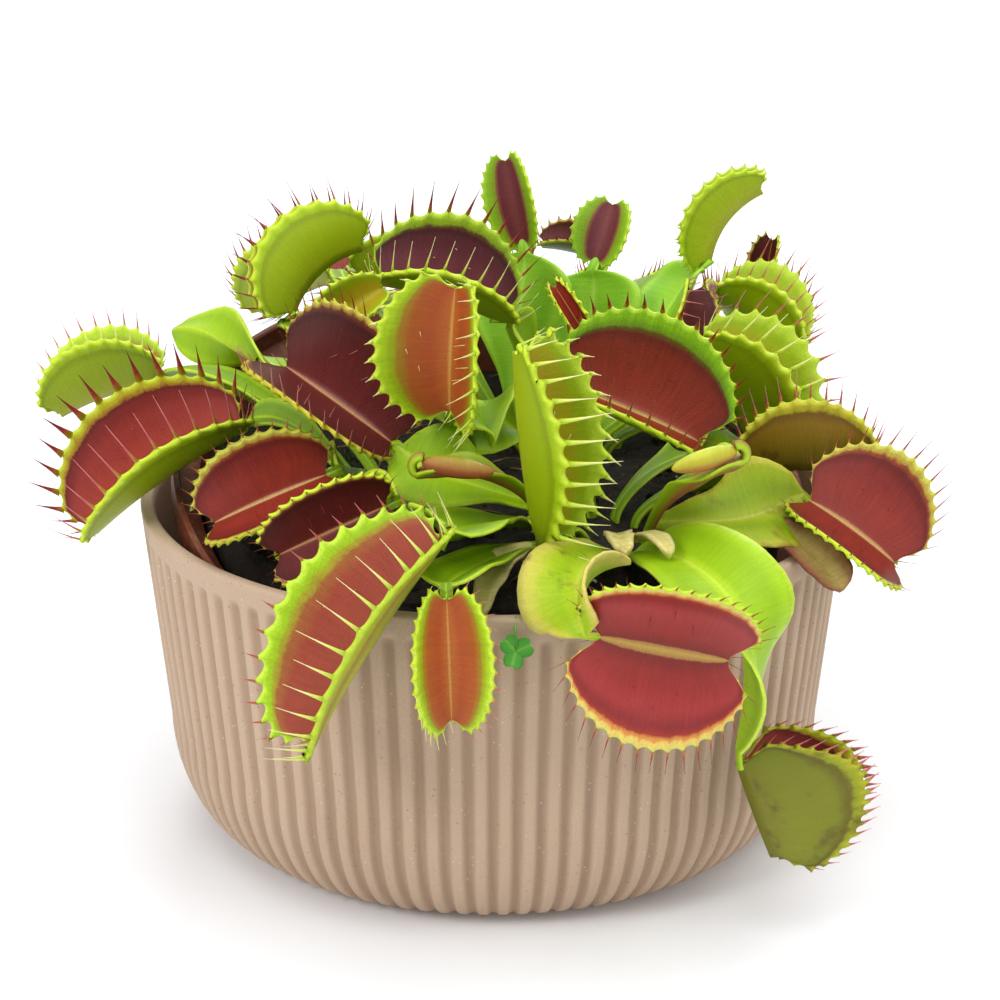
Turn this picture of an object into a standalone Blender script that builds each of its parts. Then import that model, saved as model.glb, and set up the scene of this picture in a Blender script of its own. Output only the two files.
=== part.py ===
"""Potted venus flytrap, in metres, +Z up, standing on z = 0 with the bowl's axis on the Z axis.

A fluted bowl holds a round plastic nursery pot that leans forward. The soil in it carries three
rosettes. Each leaf is one solid: a winged stalk, the two lobes of its trap and the spines on
their rims. Lengths in the tables are millimetres, angles are degrees.
"""

import math
from typing import NamedTuple

import bmesh
import bpy
from mathutils import Matrix, Quaternion, Vector

MM = 0.001
GAP = 0.3  # left between neighbouring solids

# Bowl
RIM_RADIUS = 60.0
BOWL_HEIGHT = 59.0
WALL = 2.4
WALL_TAPER = 0.11  # radius lost per millimetre of depth below the rim
FOOT_RADIUS = 41.0
CORNER_HEIGHT = 21.0
FLOOR_THICKNESS = 4.0
RIM_BAND = 3.5  # plain band above the flutes
FLUTES = 90
FLUTE_DEPTH = 0.7
INSIDE_STEPS = 45
CORNER_STEPS = 4

# Nursery pot, in its own frame with the rim at z = 0
LEAN = 22.0
LEAN_HEADING = 20.0  # turns the pot's high side from straight back towards the left
POT_RADIUS = 54.5
POT_BASE_RADIUS = 36.0
POT_DEPTH = 45.3
POT_WALL = 1.2
POT_LIP = 5.0
POT_RIM_HEIGHT = 60.0
POT_STEPS = 36

# Soil surface: a plane through SOIL_HEIGHT on the bowl's axis
SOIL_HEIGHT = 60.0
SOIL_SLOPE_X = -0.03
SOIL_SLOPE_Y = 0.09
STUB_DEPTH = 4.0  # how far a stalk goes into its hole
STUB_RADIUS = 1.0
HOLE_RADIUS = 1.9

# Leaves
LOBE_THICKNESS = 0.8
STALK_THICKNESS = 0.9
SPINE_SHARE = 0.3  # spine length as a share of the lobe's depth
TOOTH_WIDTH = 0.42  # a spine's share of the rim between two gaps
NECK_RADIUS = 1.0
NECK_LENGTH = 2.0
SHOULDER = 3.2  # how close to the trap a stalk is widest
HOOK_RADIUS = 1.8
BLADE_STEPS = 9
ROOT_SPACING = 4.1  # between neighbouring stalks round a crown
EDGE_LIFT = 0.25  # how far a stalk's edges rise, as a share of its half width
BIG_DEPTH = 13.5  # traps at least this deep get the finest grid
SMALL_DEPTH = 8.0

GREEN = (0.20, 0.42, 0.03, 1.0)
RED = (0.32, 0.04, 0.03, 1.0)
DEEP_RED = (0.13, 0.02, 0.03, 1.0)
ORANGE = (0.45, 0.15, 0.05, 1.0)
PALE_GREEN = (0.35, 0.50, 0.08, 1.0)


INSIDES = {
    RED: ("trap_red", RED, 0.5),
    DEEP_RED: ("trap_maroon", DEEP_RED, 0.5),
    ORANGE: ("trap_orange", ORANGE, 0.5),
    PALE_GREEN: ("trap_pale", PALE_GREEN, 0.5),
}


class Trap(NamedTuple):
    """A leaf with a trap: where the trap starts and ends, and which way its mouth looks."""

    crown: str
    via: tuple  # a point that pulls the stalk's curve
    base: tuple
    tip: tuple
    faces: tuple
    depth: float  # midrib to rim
    opening: tuple  # half angles of the left and the right lobe
    wing: float = 4.0  # half width of the stalk
    colour: tuple = RED
    arch: float = 20.0
    cup: float = 14.0
    spines: float = 1.0
    fan: float = 1.25  # how much longer the rim is than the midrib
    hook: float = 0.0  # how far a young trap is folded back over its stalk
    shows: tuple = (0, 0, 1)  # where the stalk's upper side looks


class Blade(NamedTuple):
    """A leaf that has no trap, or has lost it."""

    crown: str
    via: tuple
    tip: tuple
    shows: tuple  # where the upper side looks
    wing: float  # half width
    widest: float = 0.6  # share of the length at which it is widest


CROWNS = {"right": (17.0, -22.0), "left": (-19.0, -12.0), "back": (12.0, 18.0)}

TRAPS = {
    "leaf_01_far_left": Trap(
        "left", (-34, -8, 78), (-42, -6, 72), (-67, -13, 56), (-0.3, -0.35, 0.85), 15.5, (38, 34), fan=1.15
    ),
    "leaf_02_behind_left": Trap(
        "left", (-44, 8, 80), (-58, 12, 75), (-75, 11, 69), (0.0, 0.2, 0.9), 12, (40, 30), colour=ORANGE
    ),
    "leaf_03_maroon_left": Trap(
        "right", (-8, -32, 71), (-16.5, -20, 74), (-34.5, -7, 83), (-0.2, -0.75, 0.6), 17, (22, 46), 6,
        DEEP_RED, shows=(0, -0.5, 0.85),
    ),
    "leaf_04_low_left": Trap(
        "left", (-26, -18, 72), (-27, -28.5, 71.5), (-45, -32, 64.5), (0.1, -0.8, 0.6), 11, (34, 52),
        spines=0.4,
    ),
    "leaf_05_low_middle": Trap(
        "left", (-21, -28, 66), (-17, -39, 70), (-34, -42.5, 63), (0.1, -0.9, 0.4), 10, (48, 40), 4,
        DEEP_RED, spines=0.6,
    ),
    "leaf_06_upright_orange": Trap(
        "right", (1, -14, 84), (-7, -27, 82), (-6, -29, 103), (-0.6, -0.8, 0.1), 12, (45, 55), 6, ORANGE, 10
    ),
    "leaf_07_purple_back": Trap(
        "back", (8, 10, 80), (1, 8, 87), (-19, 6, 94), (0.1, -0.3, 0.95), 13.5, (40, 30), 7, DEEP_RED
    ),
    "leaf_08_closed_left": Trap(
        "back", (-27, 18, 78), (-35.5, 16, 85), (-22.5, 22, 96), (-0.7, 0.0, 0.5), 11, (12, 12), arch=60,
        cup=30,
    ),
    "leaf_09_small_left": Trap(
        "left", (-22, 2, 80), (-27, 1, 88), (-18.5, -2, 95), (0.3, -0.7, 0.6), 6, (40, 40), 3, PALE_GREEN
    ),
    "leaf_10_pale_middle": Trap(
        "right", (11, -36, 67), (7, -39, 66.5), (4, -41, 96), (0.72, -0.69, 0), 12.5, (30, 18), 2,
        PALE_GREEN, -12, 25,
    ),
    "leaf_11_big_red": Trap(
        "right", (10, -10, 74), (12.5, -7, 79.5), (34, -13.5, 72), (0.1, -0.7, 0.55), 17, (55, 25), 7,
        fan=1.37,
    ),
    "leaf_12_green_right": Trap(
        "right", (36, 6, 70), (46, 9, 62), (35, 11, 80), (0.65, -0.15, 0.7), 15, (30, 20), 5, PALE_GREEN, 25
    ),
    "leaf_13_olive_right": Trap(
        "right", (38, -10, 64), (43, -10, 66.5), (62, -12, 66.5), (0, 0.3, 0.95), 12, (30, 30),
        colour=ORANGE,
    ),
    "leaf_14_red_right": Trap(
        "right", (38, -38, 64), (52, -20, 64), (66, -24, 54.5), (0.5, -0.62, 0.58), 15, (55, 52), 8,
        fan=1.35, shows=(0, -0.45, 0.9),
    ),
    "leaf_15_front": Trap(
        "right", (8, -68, 70), (16, -67, 59), (36, -67, 55), (0.1, -1, -0.1), 15, (62, 62), 9, DEEP_RED, 10,
        fan=1.45, shows=(0, -0.8, 0.6),
    ),
    "leaf_16_long_front": Trap(
        "right", (-8, -42, 67), (-8, -57, 71), (-28, -69, 42.5), (-0.73, -0.1, 0.66), 14.5, (42, 34), 5,
        ORANGE, 12, fan=1.15,
    ),
    "leaf_17_small_front": Trap(
        "right", (-8, -52, 64), (-7, -67, 65), (-6.3, -69, 46), (0, -1, 0), 7.5, (62, 42), 4.5, ORANGE, 10
    ),
    "leaf_18_hanging": Trap(
        "right", (48, -76, 72), (40, -50.5, 31), (46, -51, 14.5), (0.93, 0, 0.36), 18, (10, 10), 9,
        PALE_GREEN, -5, 30, 0.4, 1.4, shows=(0, -0.5, 0.85),
    ),
    "leaf_19_tall_closed": Trap(
        "back", (32, 33, 88), (37, 34, 89), (47, 34, 103), (-0.8, 0, 0.5), 6, (8, 8), 6, PALE_GREEN, 60, 22,
        0.2,
    ),
    "leaf_20_tall_tip": Trap(
        "back", (4, 26, 84), (5, 30, 94), (2, 32, 108), (-0.4, -0.9, 0.1), 4.5, (30, 30), 9, arch=10,
        spines=0,
    ),
    "leaf_21_back_small": Trap(
        "back", (18, 32, 80), (18, 36, 89), (21, 40, 98), (-0.4, -0.9, 0.2), 5.5, (40, 40), 8, DEEP_RED, 10,
        spines=0,
    ),
    "leaf_22_back_low": Trap(
        "back", (12, 42, 78), (18, 46, 87), (9, 46, 89), (0, -0.3, 0.9), 5, (40, 40), 4, DEEP_RED,
        spines=0.4,
    ),
    "leaf_23_back_maroon": Trap(
        "back", (28, 12, 70), (30, 20, 78), (34, 24, 87), (0.5, -0.6, 0.3), 7, (35, 35), 4, DEEP_RED
    ),
    "leaf_24_back_right": Trap(
        "back", (42, 22, 66), (52, 29, 75), (40, 32, 83), (0.55, -0.1, 0.7), 11, (36, 32), 5, PALE_GREEN
    ),
    "leaf_25_young_centre": Trap(
        "back", (15, 3, 74), (16, 3, 84.5), (10.5, 5, 93), (0.2, -1, 0.1), 3, (30, 30), 3, spines=0.5
    ),
    "leaf_26_young_right": Trap(
        "right", (31, -40, 78), (38, -41, 81), (28, -44, 79), (0, 0, -1), 2.4, (10, 10), 2.8, arch=10,
        cup=70, spines=0, hook=150,
    ),
    "leaf_27_young_left": Trap(
        "right", (2.5, -34.5, 79), (-11, -38, 78), (0, -40, 77), (0, 0, -1), 2.4, (10, 10), 2.6, arch=10,
        cup=70, spines=0, hook=150,
    ),
    "leaf_28_back_tiny": Trap(
        "back", (48, 38, 70), (49, 45, 81), (50, 45, 90), (-0.5, -0.8, 0), 4, (40, 40), 3, DEEP_RED
    ),
    "leaf_29_behind_purple": Trap(
        "back", (-14, 28, 80), (-8, 31, 86), (-24, 30, 88), (0.1, 0.6, 0.8), 8, (35, 35), 3, PALE_GREEN
    ),
    "leaf_31_rear_left": Trap(
        "back", (-27, 40, 84), (-29, 49, 82), (-42, 60, 72), (-0.3, 0.5, 0.8), 12, (42, 42)
    ),
    "leaf_32_rear_middle": Trap(
        "back", (4, 48, 84), (0, 56, 78), (-8, 74, 67), (0, 0.5, 0.85), 13, (45, 45), 6, DEEP_RED
    ),
    "leaf_33_rear_right": Trap(
        "back", (40, 40, 84), (43, 51, 75), (52, 63, 62), (0.2, 0.6, 0.8), 12, (42, 42)
    ),
    "leaf_34_rear_low": Trap(
        "back", (30, 52, 86), (24, 66, 74), (24, 76, 60), (0, 0.8, 0.4), 11, (45, 45), 6, ORANGE
    ),
}

BLADES = {
    "leaf_35_round_left": Blade("left", (-39, 16, 84), (-56, 25, 79), (0.1, -0.7, 0.7), 5.5, 0.86),
}


def soil_height(x, y):
    """Height of the soil's surface."""
    return SOIL_HEIGHT + SOIL_SLOPE_X * x + SOIL_SLOPE_Y * y


# ---------------------------------------------------------------- scene, materials, objects


def clear_scene():
    """Remove every object of the start-up scene."""
    for obj in list(bpy.data.objects):
        bpy.data.objects.remove(obj, do_unlink=True)


def material(name, colour, roughness):
    """A Principled material, made once for each name."""
    found = bpy.data.materials.get(name)
    if found:
        return found
    made = bpy.data.materials.new(name)
    made.use_nodes = True
    shader = made.node_tree.nodes["Principled BSDF"]
    shader.inputs["Base Color"].default_value = colour
    shader.inputs["Roughness"].default_value = roughness
    made.diffuse_color = colour
    return made


def new_object(name, bm, materials, collection):
    """Turn a bmesh in millimetres into an object in metres."""
    bmesh.ops.scale(bm, vec=(MM, MM, MM), verts=bm.verts)
    mesh = bpy.data.meshes.new(name)
    bm.to_mesh(mesh)
    bm.free()
    mesh.shade_smooth()
    mesh.set_sharp_from_angle(angle=math.radians(40))
    for entry in materials:
        mesh.materials.append(entry)
    obj = bpy.data.objects.new(name, mesh)
    collection.objects.link(obj)
    return obj


def turned(profile, steps):
    """A bmesh of the (radius, z) profile spun once round Z."""
    bm = bmesh.new()
    verts = [bm.verts.new((radius, 0, z)) for radius, z in profile]
    edges = [bm.edges.new(pair) for pair in zip(verts, verts[1:])]
    geom = verts + edges
    bmesh.ops.spin(bm, geom=geom, axis=(0, 0, 1), cent=(0, 0, 0), angle=math.tau, steps=steps, use_merge=True)
    bmesh.ops.remove_doubles(bm, verts=bm.verts, dist=0.0001)
    bmesh.ops.recalc_face_normals(bm, faces=bm.faces)
    return bm


# ---------------------------------------------------------------- bowl


def wall_radius(z):
    """Outer radius of the bowl's straight wall at a height."""
    return RIM_RADIUS - WALL_TAPER * (BOWL_HEIGHT - z)


def inside_radius(z):
    """Inner radius of the bowl at a height, down to its floor."""
    radius = wall_radius(z) - WALL
    if z < CORNER_HEIGHT:
        share = (CORNER_HEIGHT - z) / (CORNER_HEIGHT - FLOOR_THICKNESS)
        foot = FOOT_RADIUS - WALL
        radius = foot + (wall_radius(CORNER_HEIGHT) - WALL - foot) * math.sqrt(max(0.0, 1 - share * share))
    return radius


def corner_profile(steps):
    """Points of the quarter ellipse from the foot's edge up to the wall."""
    reach = wall_radius(CORNER_HEIGHT) - FOOT_RADIUS
    turns = [math.pi / 2 * step / steps for step in range(steps + 1)]
    return [(FOOT_RADIUS + reach * math.sin(turn), CORNER_HEIGHT * (1 - math.cos(turn))) for turn in turns]


def bowl(collection):
    """The fluted bowl: a finely stepped outside bridged to a plain inside at the rim."""
    flute_top = BOWL_HEIGHT - RIM_BAND
    outer = [(0.0, 0.0)] + corner_profile(CORNER_STEPS)
    outer += [(wall_radius(flute_top - 2), flute_top - 2), (wall_radius(flute_top), flute_top)]
    outer += [(RIM_RADIUS, BOWL_HEIGHT)]
    bm = turned(outer, 2 * FLUTES)
    for vert in bm.verts:
        fluted = 0.1 < vert.co.z < flute_top - 1
        step = round(math.atan2(vert.co.y, vert.co.x) / math.tau * 2 * FLUTES)
        if fluted and step % 2:
            radius = math.hypot(vert.co.x, vert.co.y)
            vert.co.xy *= (radius - FLUTE_DEPTH) / radius
    inner = [(RIM_RADIUS - WALL, BOWL_HEIGHT)]
    inner += [(inside_radius(z), z) for z in (CORNER_HEIGHT, 12.0, 6.5)]
    inner += [(inside_radius(FLOOR_THICKNESS), FLOOR_THICKNESS), (0.0, FLOOR_THICKNESS)]
    lining = turned(inner, INSIDE_STEPS)
    mesh = bpy.data.meshes.new("lining")
    lining.to_mesh(mesh)
    lining.free()
    bm.from_mesh(mesh)
    bpy.data.meshes.remove(mesh)
    bmesh.ops.bridge_loops(bm, edges=[edge for edge in bm.edges if edge.is_boundary])
    bmesh.ops.recalc_face_normals(bm, faces=bm.faces)
    new_object("bowl", bm, [material("stoneware", (0.52, 0.42, 0.34, 1), 0.75)], collection)


# ---------------------------------------------------------------- nursery pot and soil


def lean_matrix():
    """From the nursery pot's own frame to the object's."""
    heading = Matrix.Rotation(math.radians(LEAN_HEADING), 4, "Z")
    lean = heading @ Matrix.Rotation(math.radians(LEAN), 4, "X") @ heading.inverted()
    return Matrix.Translation((0, 0, POT_RIM_HEIGHT)) @ lean


def pot_radius(z):
    """Outer radius of the nursery pot's wall at a depth z below its rim."""
    top = POT_RADIUS - POT_WALL - GAP
    return top + (top - POT_BASE_RADIUS) * z / POT_DEPTH


def nursery_pot(collection):
    """A thin turned cup with a lip, leaning forward in the bowl."""
    floor = -POT_DEPTH
    profile = [(0.0, floor + POT_WALL), (pot_radius(floor + POT_WALL) - POT_WALL, floor + POT_WALL)]
    profile += [(pot_radius(-POT_LIP) - POT_WALL, -POT_LIP), (POT_RADIUS - POT_WALL, -POT_LIP + 1)]
    profile += [(POT_RADIUS - POT_WALL, 0), (POT_RADIUS, 0), (POT_RADIUS, -POT_LIP)]
    profile += [(pot_radius(-POT_LIP), -POT_LIP), (pot_radius(floor), floor), (0.0, floor)]
    bm = turned(profile, POT_STEPS)
    bmesh.ops.transform(bm, matrix=lean_matrix(), verts=bm.verts)
    new_object("nursery_pot", bm, [material("terracotta_plastic", (0.30, 0.09, 0.05, 1), 0.5)], collection)


def soil(collection, cutters, roots):
    """Soil that fills the nursery pot and rises over its low side, with a plain hole for each stalk."""
    low, high = -POT_DEPTH + POT_WALL + GAP, 24.0
    inset = POT_WALL + GAP
    top_radius = pot_radius(-POT_LIP) - inset
    profile = [(0.0, low), (pot_radius(low) - inset, low)]
    profile += [(top_radius, -POT_LIP), (top_radius, high), (0.0, high)]
    bm = turned(profile, POT_STEPS)
    bmesh.ops.transform(bm, matrix=lean_matrix(), verts=bm.verts)
    surface = Vector((-SOIL_SLOPE_X, -SOIL_SLOPE_Y, 1)).normalized()
    cut = bmesh.ops.bisect_plane(
        bm,
        geom=bm.verts[:] + bm.edges[:] + bm.faces[:],
        plane_co=(0, 0, SOIL_HEIGHT),
        plane_no=surface,
        clear_outer=True,
    )
    rim = [item for item in cut["geom_cut"] if isinstance(item, bmesh.types.BMEdge)]
    bmesh.ops.contextual_create(bm, geom=rim)
    bmesh.ops.recalc_face_normals(bm, faces=bm.faces)
    obj = new_object("soil", bm, [material("peat", (0.03, 0.02, 0.015, 1), 0.95)], collection)
    holes = bmesh.new()
    square = Matrix.Rotation(math.pi / 4, 4, "Z")
    depth = STUB_DEPTH + GAP + 3
    for x, y in roots:
        place = Matrix.Translation((x, y, soil_height(x, y) + 3 - depth / 2)) @ square
        bmesh.ops.create_cone(
            holes,
            cap_ends=True,
            segments=4,
            radius1=HOLE_RADIUS,
            radius2=HOLE_RADIUS,
            depth=depth,
            matrix=place,
        )
    tool = new_object("hole_cutter", holes, [], cutters)
    tool.hide_render = True
    tool.display_type = "WIRE"
    holes_cut = obj.modifiers.new("holes", "BOOLEAN")
    holes_cut.object = tool
    holes_cut.operation = "DIFFERENCE"
    holes_cut.solver = "EXACT"


# ---------------------------------------------------------------- leaves


def smooth(value):
    """Ease from 0 to 1."""
    value = min(1.0, max(0.0, value))
    return value * value * (3 - 2 * value)


def trap_frame(trap):
    """Unit vectors along the midrib, across it and out of the mouth."""
    along = (Vector(trap.tip) - Vector(trap.base)).normalized()
    mouth = Vector(trap.faces)
    mouth = (mouth - along * mouth.dot(along)).normalized()
    return along, mouth.cross(along), mouth


def lobe_point(trap, a, b):
    """A point inside the trap: a runs -1 to 1 along it, b from rim to rim with the midrib at 0."""
    length = (Vector(trap.tip) - Vector(trap.base)).length
    p = a * math.sqrt(1 - b * b / 2)
    q = abs(b) * math.sqrt(1 - a * a / 2)
    x = p * (1 + (trap.fan - 1) * smooth(q / 0.4)) * length / 2
    side = 1 if b >= 0 else -1
    opening = trap.opening[0 if b >= 0 else 1]
    start = math.radians(opening + trap.cup)
    bend = -math.radians(2 * trap.cup)
    turn = start + bend * q
    y = side * trap.depth / bend * (math.cos(start) - math.cos(turn))
    z = trap.depth / bend * (math.sin(turn) - math.sin(start))
    arch = math.radians(trap.arch)
    radius = length / 2 / math.sin(arch / 2)
    half = arch / 2
    t = x / radius
    along = (radius + z) * math.sin(t) + radius * math.sin(half)
    out = (radius + z) * math.cos(t) - radius * math.cos(half)
    return Vector((along, y, out))


def tooth_steps(count):
    """Positions from 0 to 1 where gaps and narrow spine roots take turns."""
    widths = [TOOTH_WIDTH if step % 2 else 1.0 for step in range(count)]
    total = sum(widths)
    places = [0.0]
    for width in widths:
        places.append(places[-1] + width / total)
    return places


def grid_size(trap):
    """Columns of a trap's grid and rows of each of its lobes."""
    if trap.depth >= BIG_DEPTH:
        return 13, 3
    return (11, 2) if trap.depth >= SMALL_DEPTH else (9, 2)


def grow_trap(trap):
    """A bmesh of the two lobes with their spines, and the two faces where the stalk joins."""
    columns, rows = grid_size(trap)
    bm = bmesh.new()
    bmesh.ops.create_grid(bm, x_segments=columns, y_segments=2 * rows, size=1.0)
    long_steps = tooth_steps(columns)
    side_steps = tooth_steps(rows)
    along, across, mouth = trap_frame(trap)
    frame = Matrix((along, across, mouth)).transposed()
    place = {}
    for vert in bm.verts:
        column = round((vert.co.x + 1) / 2 * columns)
        row = round(vert.co.y * rows)
        a = 2 * long_steps[column] - 1
        b = math.copysign(side_steps[abs(row)], row)
        vert.co = frame @ lobe_point(trap, a, b) + Vector(trap.base)
        place[vert] = (column, row)
    bmesh.ops.triangulate(bm, faces=bm.faces[:], quad_method="SHORT_EDGE")
    bmesh.ops.recalc_face_normals(bm, faces=bm.faces)
    bm.normal_update()
    inside = bm.faces[:]
    if inside[0].normal.dot(Vector(trap.faces)) < 0:
        bmesh.ops.reverse_faces(bm, faces=inside)
        bm.normal_update()
    normals = {vert: vert.normal.copy() for vert in bm.verts}
    grown = bmesh.ops.extrude_face_region(bm, geom=inside, use_keep_orig=True)
    miter = max(0.45, math.sin(math.radians(sum(trap.opening) / 2 + trap.cup)))
    copies = [item for item in grown["geom"] if isinstance(item, bmesh.types.BMVert)]
    originals = {rounded(vert.co): vert for vert in normals}
    for copy in copies:
        source = originals[rounded(copy.co)]
        copy.co -= normals[source] * LOBE_THICKNESS / (miter if place[source][1] == 0 else 1.0)
        place[copy] = place[source]
    rim = [face for face in bm.faces if len(face.verts) == 4]
    bmesh.ops.recalc_face_normals(bm, faces=bm.faces)
    bm.normal_update()
    joint, roots = [], []
    for face in rim:
        spots = {place[vert] for vert in face.verts}
        columns_here = sorted({spot[0] for spot in spots})
        rows_here = sorted({abs(spot[1]) for spot in spots})
        if columns_here == [0] and rows_here[0] == 0:
            joint.append(face)
        elif len(columns_here) == 2 and columns_here[0] % 2 and rows_here == [rows]:
            roots.append((face, 1 - abs(2 * columns_here[0] / columns - 1) ** 3))
        elif len(rows_here) == 2 and rows_here[0] % 2 and rows_here[0] > 0:
            roots.append((face, 0.5))
    spine = trap.depth * SPINE_SHARE * trap.spines
    for face, share in roots:
        outward = face.normal.copy()
        centre = face.calc_center_median()
        apex = bmesh.ops.poke(bm, faces=[face])["verts"][0]
        apex.co = centre + (outward + 0.25 * mouth).normalized() * spine * (0.45 + 0.55 * share)
    return bm, joint, place, inside


def curve_point(points, t):
    """A point of the cubic curve through its end points."""
    a, b, c, d = points
    s = 1 - t
    return a * s**3 + b * 3 * s * s * t + c * 3 * s * t * t + d * t**3


def stalk_width(t, wing):
    """Half width of the winged stalk from its root at 0 to the trap at 1."""
    return NECK_RADIUS + (wing - NECK_RADIUS) * max(0.0, math.sin(math.pi * t**SHOULDER)) ** 0.8


def stations(root, via, end, across, shows, widths):
    """Centre, side, upward vector and half width of each station down to the stub in the soil.

    Widths hold each station's share of the way, 1 at the end, and its half width.
    """
    start = Vector((*root, soil_height(*root)))
    heading = Vector((end.x - start.x, end.y - start.y, 0))
    heading = heading.normalized() if heading.length > 1 else Vector((0, -1, 0))
    flat = Vector(shows).cross(heading)
    points = [start, start + Vector((0, 0, 6)), Vector(via), end]
    found = []
    for t, half in widths:
        centre = curve_point(points, t)
        ahead = (curve_point(points, min(1, t + 0.01)) - curve_point(points, max(0, t - 0.01))).normalized()
        if t == 0:
            ahead = Vector((0, 0, 1))
        level = (flat - ahead * flat.dot(ahead)).normalized()
        goal = (across - ahead * across.dot(ahead)).normalized()
        angle = math.atan2(ahead.dot(level.cross(goal)), level.dot(goal))
        side = Quaternion(ahead, angle * smooth((t - 0.5) / 0.45)) @ level
        found.append((centre, side, ahead.cross(side), half))
    return found + [(start - Vector((0, 0, STUB_DEPTH)), found[-1][1], found[-1][2], STUB_RADIUS)]


def neck_stations(trap):
    """Stations of the short neck behind the trap, bent back where the trap is folded over."""
    along, across, mouth = trap_frame(trap)
    if not trap.hook:
        return [(Vector(trap.base) - along * NECK_LENGTH, across, mouth, NECK_RADIUS)]
    found = []
    count = math.ceil(trap.hook / 40)
    for step in range(1, count + 1):
        turn = math.radians(trap.hook * step / count)
        centre = Vector(trap.base) + HOOK_RADIUS * (mouth * (1 - math.cos(turn)) - along * math.sin(turn))
        ahead = along * math.cos(turn) - mouth * math.sin(turn)
        found.append((centre, across, ahead.cross(across), NECK_RADIUS))
    return found


def grow_stalk(bm, joint, labels, path):
    """Extrude the joint's two faces through each station of a path.

    Labels hold, for each vertex of the joint, its place across the stalk and its layer, as -1, 0 or 1.
    """
    faces = joint
    for centre, side, up, half in path:
        tags = {rounded(vert.co): labels[vert] for face in faces for vert in face.verts}
        edges = list({edge for face in faces for edge in face.edges})
        grown = bmesh.ops.extrude_face_region(bm, geom=faces + edges)["geom"]
        faces = [item for item in grown if isinstance(item, bmesh.types.BMFace)]
        thick = max(STALK_THICKNESS, 1.4 - 0.2 * half)
        labels = {}
        for vert in [item for item in grown if isinstance(item, bmesh.types.BMVert)]:
            across, layer = labels[vert] = tags[rounded(vert.co)]
            rise = abs(across) * half * EDGE_LIFT + layer * thick / 2
            vert.co = centre + side * (across * half) + up * rise


def rounded(point):
    """A point as a key."""
    return tuple(round(value, 5) for value in point)


def leaf_with_trap(name, trap, root, collection):
    """One leaf: trap and stalk grown as a single closed mesh."""
    bm, joint, place, inside = grow_trap(trap)
    _, across, mouth = trap_frame(trap)
    sides = {}
    for vert in {vert for face in joint for vert in face.verts}:
        sides.setdefault(place[vert][1], []).append(vert)
    labels = {}
    for row, verts in sides.items():
        verts.sort(key=lambda vert: vert.co.dot(mouth))
        labels |= {vert: ((row > 0) - (row < 0), layer) for vert, layer in zip(verts, (-1, 1))}
    path = neck_stations(trap)
    widths = [(t, stalk_width(t, trap.wing)) for t in falling_steps(7 if trap.depth >= BIG_DEPTH else 6)]
    path += stations(root, trap.via, path[-1][0], across, trap.shows, widths)
    grow_stalk(bm, joint, labels, path)
    for face in inside:
        face.material_index = 1
    finish_surface(bm)
    new_object(name, bm, [material("leaf_green", GREEN, 0.45), material(*INSIDES[trap.colour])], collection)


def finish_surface(bm):
    """Split every face into triangles and turn them all outwards."""
    bmesh.ops.triangulate(bm, faces=bm.faces[:])
    bmesh.ops.recalc_face_normals(bm, faces=bm.faces)
    if bm.calc_volume(signed=True) < 0:
        bmesh.ops.reverse_faces(bm, faces=bm.faces[:])


def falling_steps(count):
    """Even steps from just under 1 down to 0."""
    return [1 - step / count for step in range(1, count + 1)]


def leaf_blade(name, blade, root, collection):
    """A leaf without a trap: a winged stalk that runs out to a blunt tip."""
    bm = bmesh.new()
    heading = (Vector(blade.tip) - Vector(blade.via)).normalized()
    side = heading.cross(Vector(blade.shows)).normalized()
    up = side.cross(heading)
    labels = {}
    for layer in (-1, 1):
        for across in (-1, 0, 1):
            place = Vector(blade.tip) + side * across + up * layer * STALK_THICKNESS / 2
            labels[bm.verts.new(place)] = (across, layer)
    low, high = [[vert for vert, tag in labels.items() if tag[1] == layer] for layer in (-1, 1)]
    joint = [bm.faces.new((low[i], low[i + 1], high[i + 1], high[i])) for i in (0, 1)]
    peak = math.log(0.5) / math.log(blade.widest)
    widths = []
    for t in falling_steps(BLADE_STEPS):
        swell = max(0.0, math.sin(math.pi * t**peak)) ** 0.7
        widths.append((t, NECK_RADIUS + (blade.wing - NECK_RADIUS) * swell))
    grow_stalk(bm, joint, labels, stations(root, blade.via, Vector(blade.tip), side, blade.shows, widths))
    bmesh.ops.holes_fill(bm, edges=bm.edges[:])
    finish_surface(bm)
    new_object(name, bm, [material("leaf_green", GREEN, 0.45)], collection)


def ring_roots():
    """Each leaf's root on its crown's ring, in the order of the directions that the leaves take."""
    roots = {}
    for crown, centre in CROWNS.items():
        members = [(name, leaf) for name, leaf in (TRAPS | BLADES).items() if leaf.crown == crown]

        def direction(member):
            via = member[1].via
            return math.atan2(via[1] - centre[1], via[0] - centre[0])

        members.sort(key=direction)
        ring = ROOT_SPACING * len(members) / math.tau
        step = math.tau / len(members)
        first = sum(direction(member) - step * slot for slot, member in enumerate(members)) / len(members)
        for slot, (name, leaf) in enumerate(members):
            turn = first + step * slot
            roots[name] = (centre[0] + ring * math.cos(turn), centre[1] + ring * math.sin(turn))
    return roots


def main():
    clear_scene()
    plant = bpy.data.collections.new("potted_venus_flytrap")
    cutters = bpy.data.collections.new("cutters")
    bpy.context.scene.collection.children.link(plant)
    bpy.context.scene.collection.children.link(cutters)
    roots = ring_roots()
    bowl(plant)
    nursery_pot(plant)
    soil(plant, cutters, roots.values())
    for name, trap in TRAPS.items():
        leaf_with_trap(name, trap, roots[name], plant)
    for name, blade in BLADES.items():
        leaf_blade(name, blade, roots[name], plant)


main()
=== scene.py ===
"""Dresses the potted venus flytrap: living leaves, fluted stoneware, peat, moss and a plain studio.

Lengths in the tables are millimetres and angles are degrees. Every piece is built in the frame of
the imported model, so a leaf grows from the same named points as its solid does.
"""

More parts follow.
